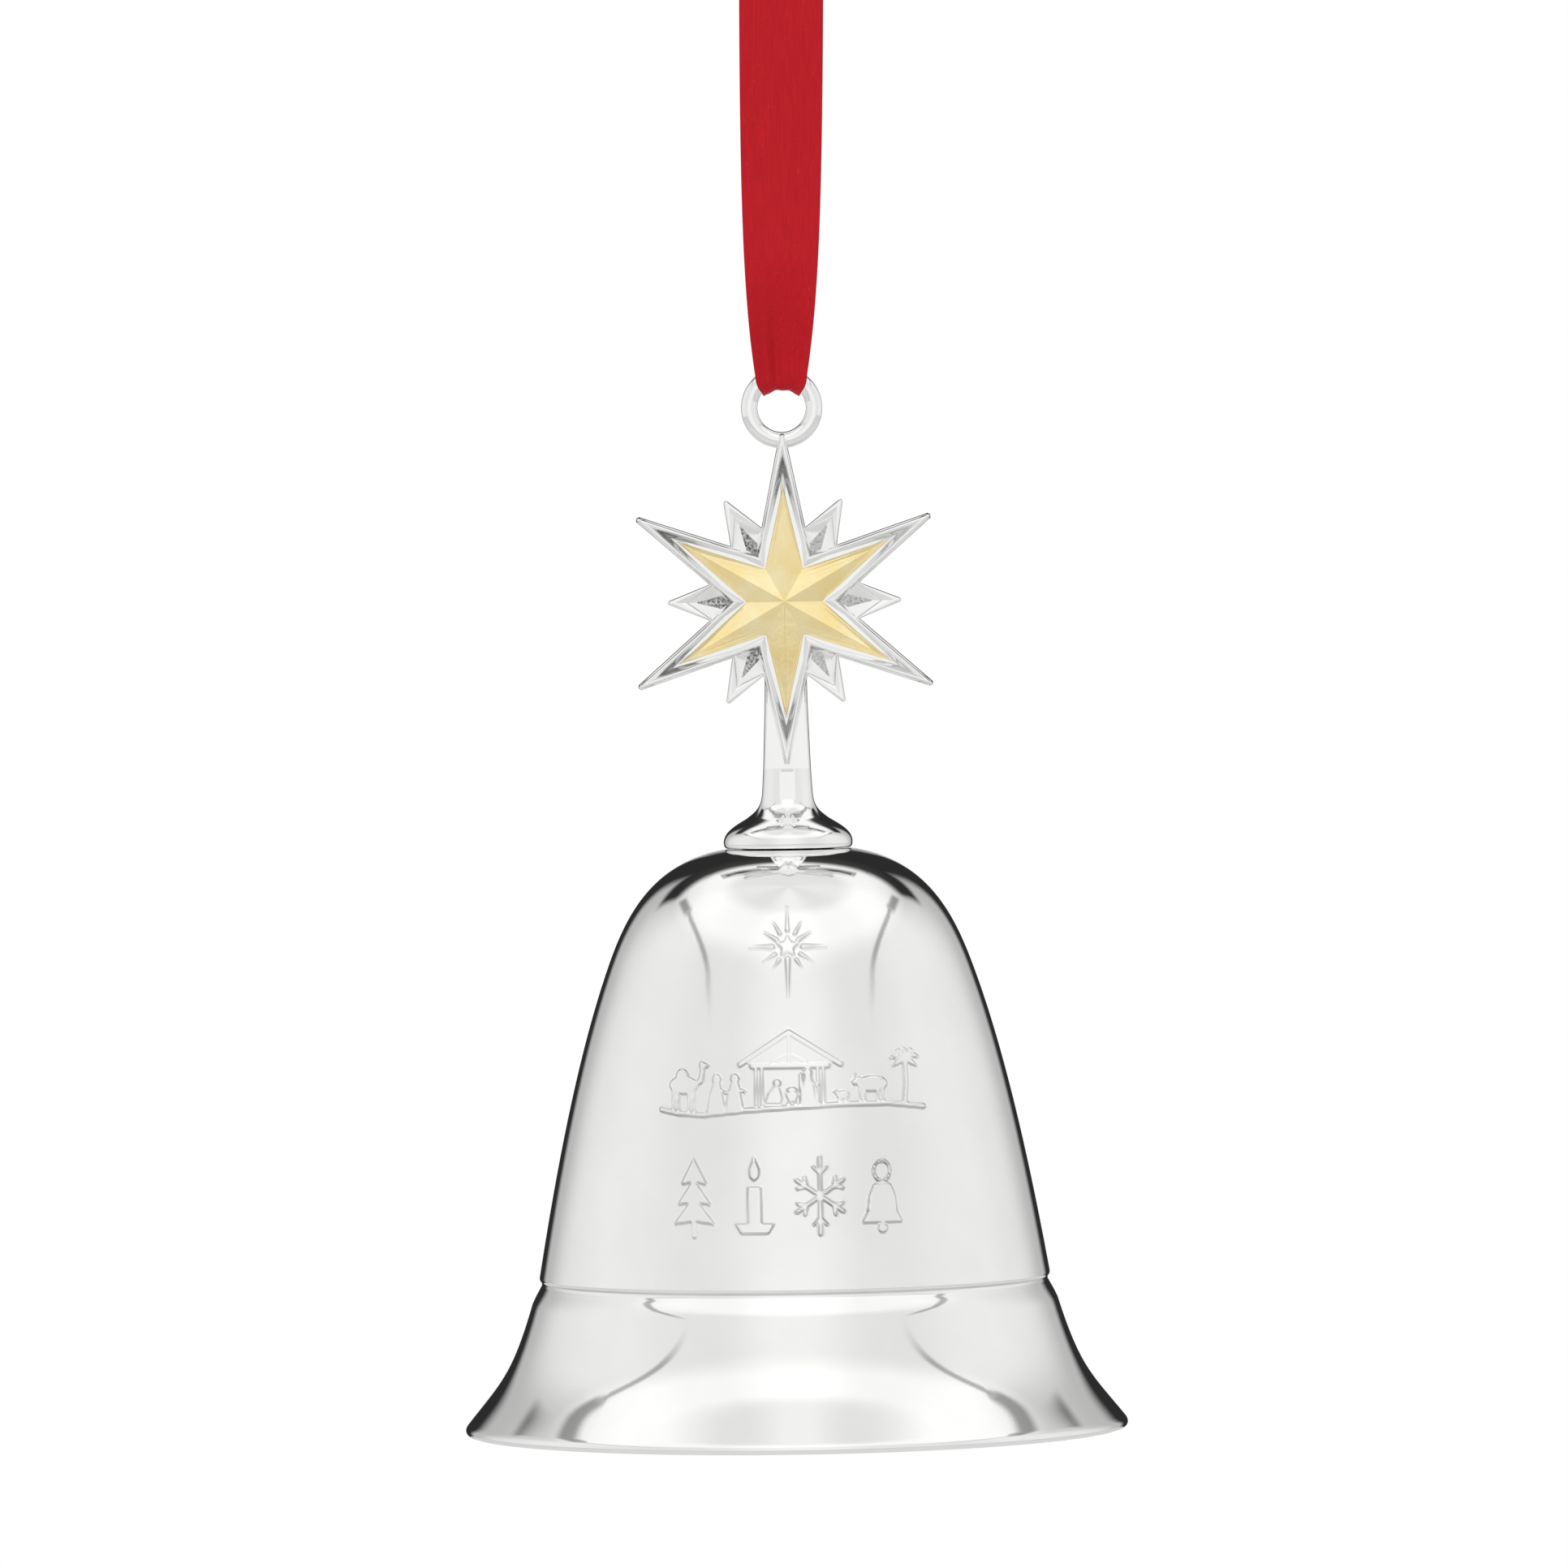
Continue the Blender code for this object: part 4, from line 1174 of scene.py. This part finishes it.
def satin(name):
    """Red satin: long floats that run with the ribbon, fine cross threads and a faint sheen."""
    look = Look(name, Metallic=0.0, Sheen_Weight=0.04, Sheen_Roughness=0.4, Specular_IOR_Level=0.16)
    look.shader.inputs["Sheen Tint"].default_value = (1.0, 0.3, 0.28, 1.0)
    floats = look.noise(look.drawn_out(0.05), 7000.0, 2.0, 0.6)
    flecks = look.noise(look.drawn_out(0.3), 4200.0, 1.0, 0.5)
    cloudy = look.noise(look.drawn_out(0.4), 130.0, 2.0, 0.5)
    base = look.mix(look.ranged(floats, 0.3, 0.7, 0.0, 1.0), (0.48, 0.005, 0.012), (0.57, 0.007, 0.016))
    base = look.mix(look.ranged(cloudy, 0.35, 0.7, 0.0, 0.35), base, (0.47, 0.004, 0.01))
    base = look.mix(look.ranged(flecks, 0.72, 0.8, 0.0, 0.5), base, (0.66, 0.05, 0.055))
    look.feed("Base Color", base)
    look.feed("Roughness", look.ranged(floats, 0.3, 0.7, 0.5, 0.38))
    cross = look.nodes.new("ShaderNodeTexWave")
    cross.wave_type = "BANDS"
    cross.bands_direction = "Z"
    cross.inputs["Scale"].default_value = 1100.0
    cross.inputs["Distortion"].default_value = 1.5
    look.links.new(look.place, cross.inputs["Vector"])
    look.bump(look.plus(floats, look.times(cross.outputs["Fac"], 0.35)), 0.00002)
    return look.material


def floor_look():
    look = Look("studio_floor", Roughness=0.9, Specular_IOR_Level=0.1)
    speck = look.noise(look.place, 30.0, 3.0, 0.5)
    look.feed("Base Color", look.mix(speck, (0.8, 0.8, 0.8), (0.84, 0.84, 0.84)))
    return look.material


# ---------------------------------------------------------------- surroundings
FLOOR_SIZE = 4000.0
FLOOR_Z = -900.0
LIGHT_AIM = (0.0, 0.0, -0.1)


def world():
    """A white tent round the object for its reflections, open and dark behind the white backdrop."""
    made = bpy.data.worlds.new("studio")
    bpy.context.scene.world = made
    made.use_nodes = True
    sky = Graph(made.node_tree)
    x, y, z = sky.split(sky.nodes.new("ShaderNodeTexCoord").outputs["Generated"])
    aside = sky.math("ABSOLUTE", x)
    over = sky.math("ARCTAN2", z, y)
    turn = sky.math("ARCTAN2", aside, sky.times(y, -1.0))
    # Walls: softly uneven, brighter overhead and in front.
    light = sky.plus(sky.times(sky.band(z, 0.58, 0.74, 0.86, 0.94), 0.19), 0.83)
    front = sky.times(sky.eased(turn, 0.1, 0.7, 0.12, 0.0), sky.ranged(y, -0.2, 0.2, 1.0, 0.0))
    side = sky.times(sky.band(turn, 0.9, 1.5, 1.7, 2.2), 0.06)
    light = sky.plus(sky.plus(light, front), side)
    # Dimmer beside the backdrop, low down.
    shade = sky.times(sky.eased(aside, 0.5, 0.86, 0.32, 0.0), sky.ranged(y, 0.0, 0.3, 0.0, 1.0))
    light = sky.math("SUBTRACT", light, sky.times(shade, sky.ranged(z, 0.6, 0.8, 1.0, 0.0)))
    # The opening behind: two side gaps and one above, round the white backdrop.
    gaps = sky.times(sky.band(aside, 0.06, 0.1, 0.34, 0.48), sky.band(over, -0.6, -0.5, 0.74, 0.88))
    high = sky.times(sky.eased(aside, 0.3, 0.4, 1.0, 0.0), sky.band(over, 0.08, 0.3, 0.84, 1.0))
    wide = sky.times(sky.eased(aside, 0.58, 0.66, 1.0, 0.0), sky.band(over, 0.58, 0.7, 0.84, 1.0))
    dark = sky.math("MAXIMUM", gaps, sky.math("MAXIMUM", high, wide))
    # A straight seam of the tent at each side.
    slant = sky.plus(sky.times(y, 0.2413), sky.times(aside, 0.9007))
    off_seam = sky.math("ABSOLUTE", sky.math("SUBTRACT", z, slant))
    seam = sky.times(sky.eased(off_seam, 0.01, 0.04, 0.55, 0.0), sky.band(turn, 0.85, 1.15, 2.05, 2.2))
    heavy = sky.times(sky.eased(off_seam, 0.02, 0.07, 0.65, 0.0), sky.band(turn, 1.7, 1.9, 2.08, 2.2))
    dark = sky.math("MAXIMUM", dark, sky.math("MAXIMUM", seam, heavy))
    light = sky.times(light, sky.ranged(dark, 0.0, 1.0, 1.0, 0.05))
    # The camera itself sees the plain white backdrop.
    seen = sky.nodes.new("ShaderNodeLightPath").outputs["Is Camera Ray"]
    sky.links.new(sky.mix(seen, light, (1.0, 1.0, 1.0)), sky.nodes["Background"].inputs["Color"])


def floor():
    square = ((-1, -1), (1, -1), (1, 1), (-1, 1))
    corners = [(x * FLOOR_SIZE, y * FLOOR_SIZE, FLOOR_Z) for x, y in square]
    made = mesh_object("studio_floor_plane", corners, [(0, 1, 2, 3)], floor_look())


def soft_light(name, place, size, watts):
    """A large soft lamp aimed at the bell, too even to show as a shape in the plating."""
    data = bpy.data.lights.new(name, "AREA")
    data.shape = "DISK"
    data.size = size
    data.energy = watts
    made = bpy.data.objects.new(name, data)
    made.location = place
    made.rotation_euler = (Vector(LIGHT_AIM) - Vector(place)).to_track_quat("-Z", "Y").to_euler()
    made.visible_glossy = False
    bpy.context.collection.objects.link(made)


SILVER = (0.94, 0.938, 0.93)
ZINC = (0.72, 0.72, 0.7)
NICKEL = (0.76, 0.74, 0.7)

bpy.context.scene.view_settings.view_transform = "Standard"
bpy.context.scene.view_settings.look = "None"
camera()
world()
floor()
soft_light("key_softbox", (-0.9, -1.3, 0.9), 1.2, 5.0)
soft_light("fill_softbox", (1.1, 0.9, 0.9), 1.0, 2.5)
red = satin("red_satin")
coloured = [knot(red), ribbon(red)]
ring(polished("silver_ring_plate", SILVER, 0.05, 0.000004, 0.0000008))
star_head(polished("silver_star_plate", SILVER, 0.07, 0.000008, 0.000001, with_painted_shade=True))
star_panels(panel_metal())
star_neck(polished("silver_neck_plate", SILVER, 0.07, 0.00001, 0.000001))
coloured.append(gold_face(gold_plate()))
handle(polished("silver_stem_plate", SILVER, 0.05, 0.00001, 0.000001))
bell_body(
    polished("silver_bell_plate", SILVER, 0.05, 0.000014, 0.0000008, with_painted_shade=True),
    satin_metal("silver_inside_plate", (0.85, 0.845, 0.83), 0.2),
)
washer(satin_metal("zinc_washer_plate", ZINC, 0.3))
nut(satin_metal("zinc_nut_plate", ZINC, 0.28))
bolt(satin_metal("nickel_bolt_plate", NICKEL, 0.24))
link(satin_metal("nickel_link_plate", NICKEL, 0.2))
rod(satin_metal("nickel_wire_plate", NICKEL, 0.22))
ball(satin_metal("brass_ball_polish", (0.85, 0.66, 0.36), 0.2))
# Coloured pieces leave no coloured patches in the silver round them.
for piece in coloured:
    piece.visible_glossy = False
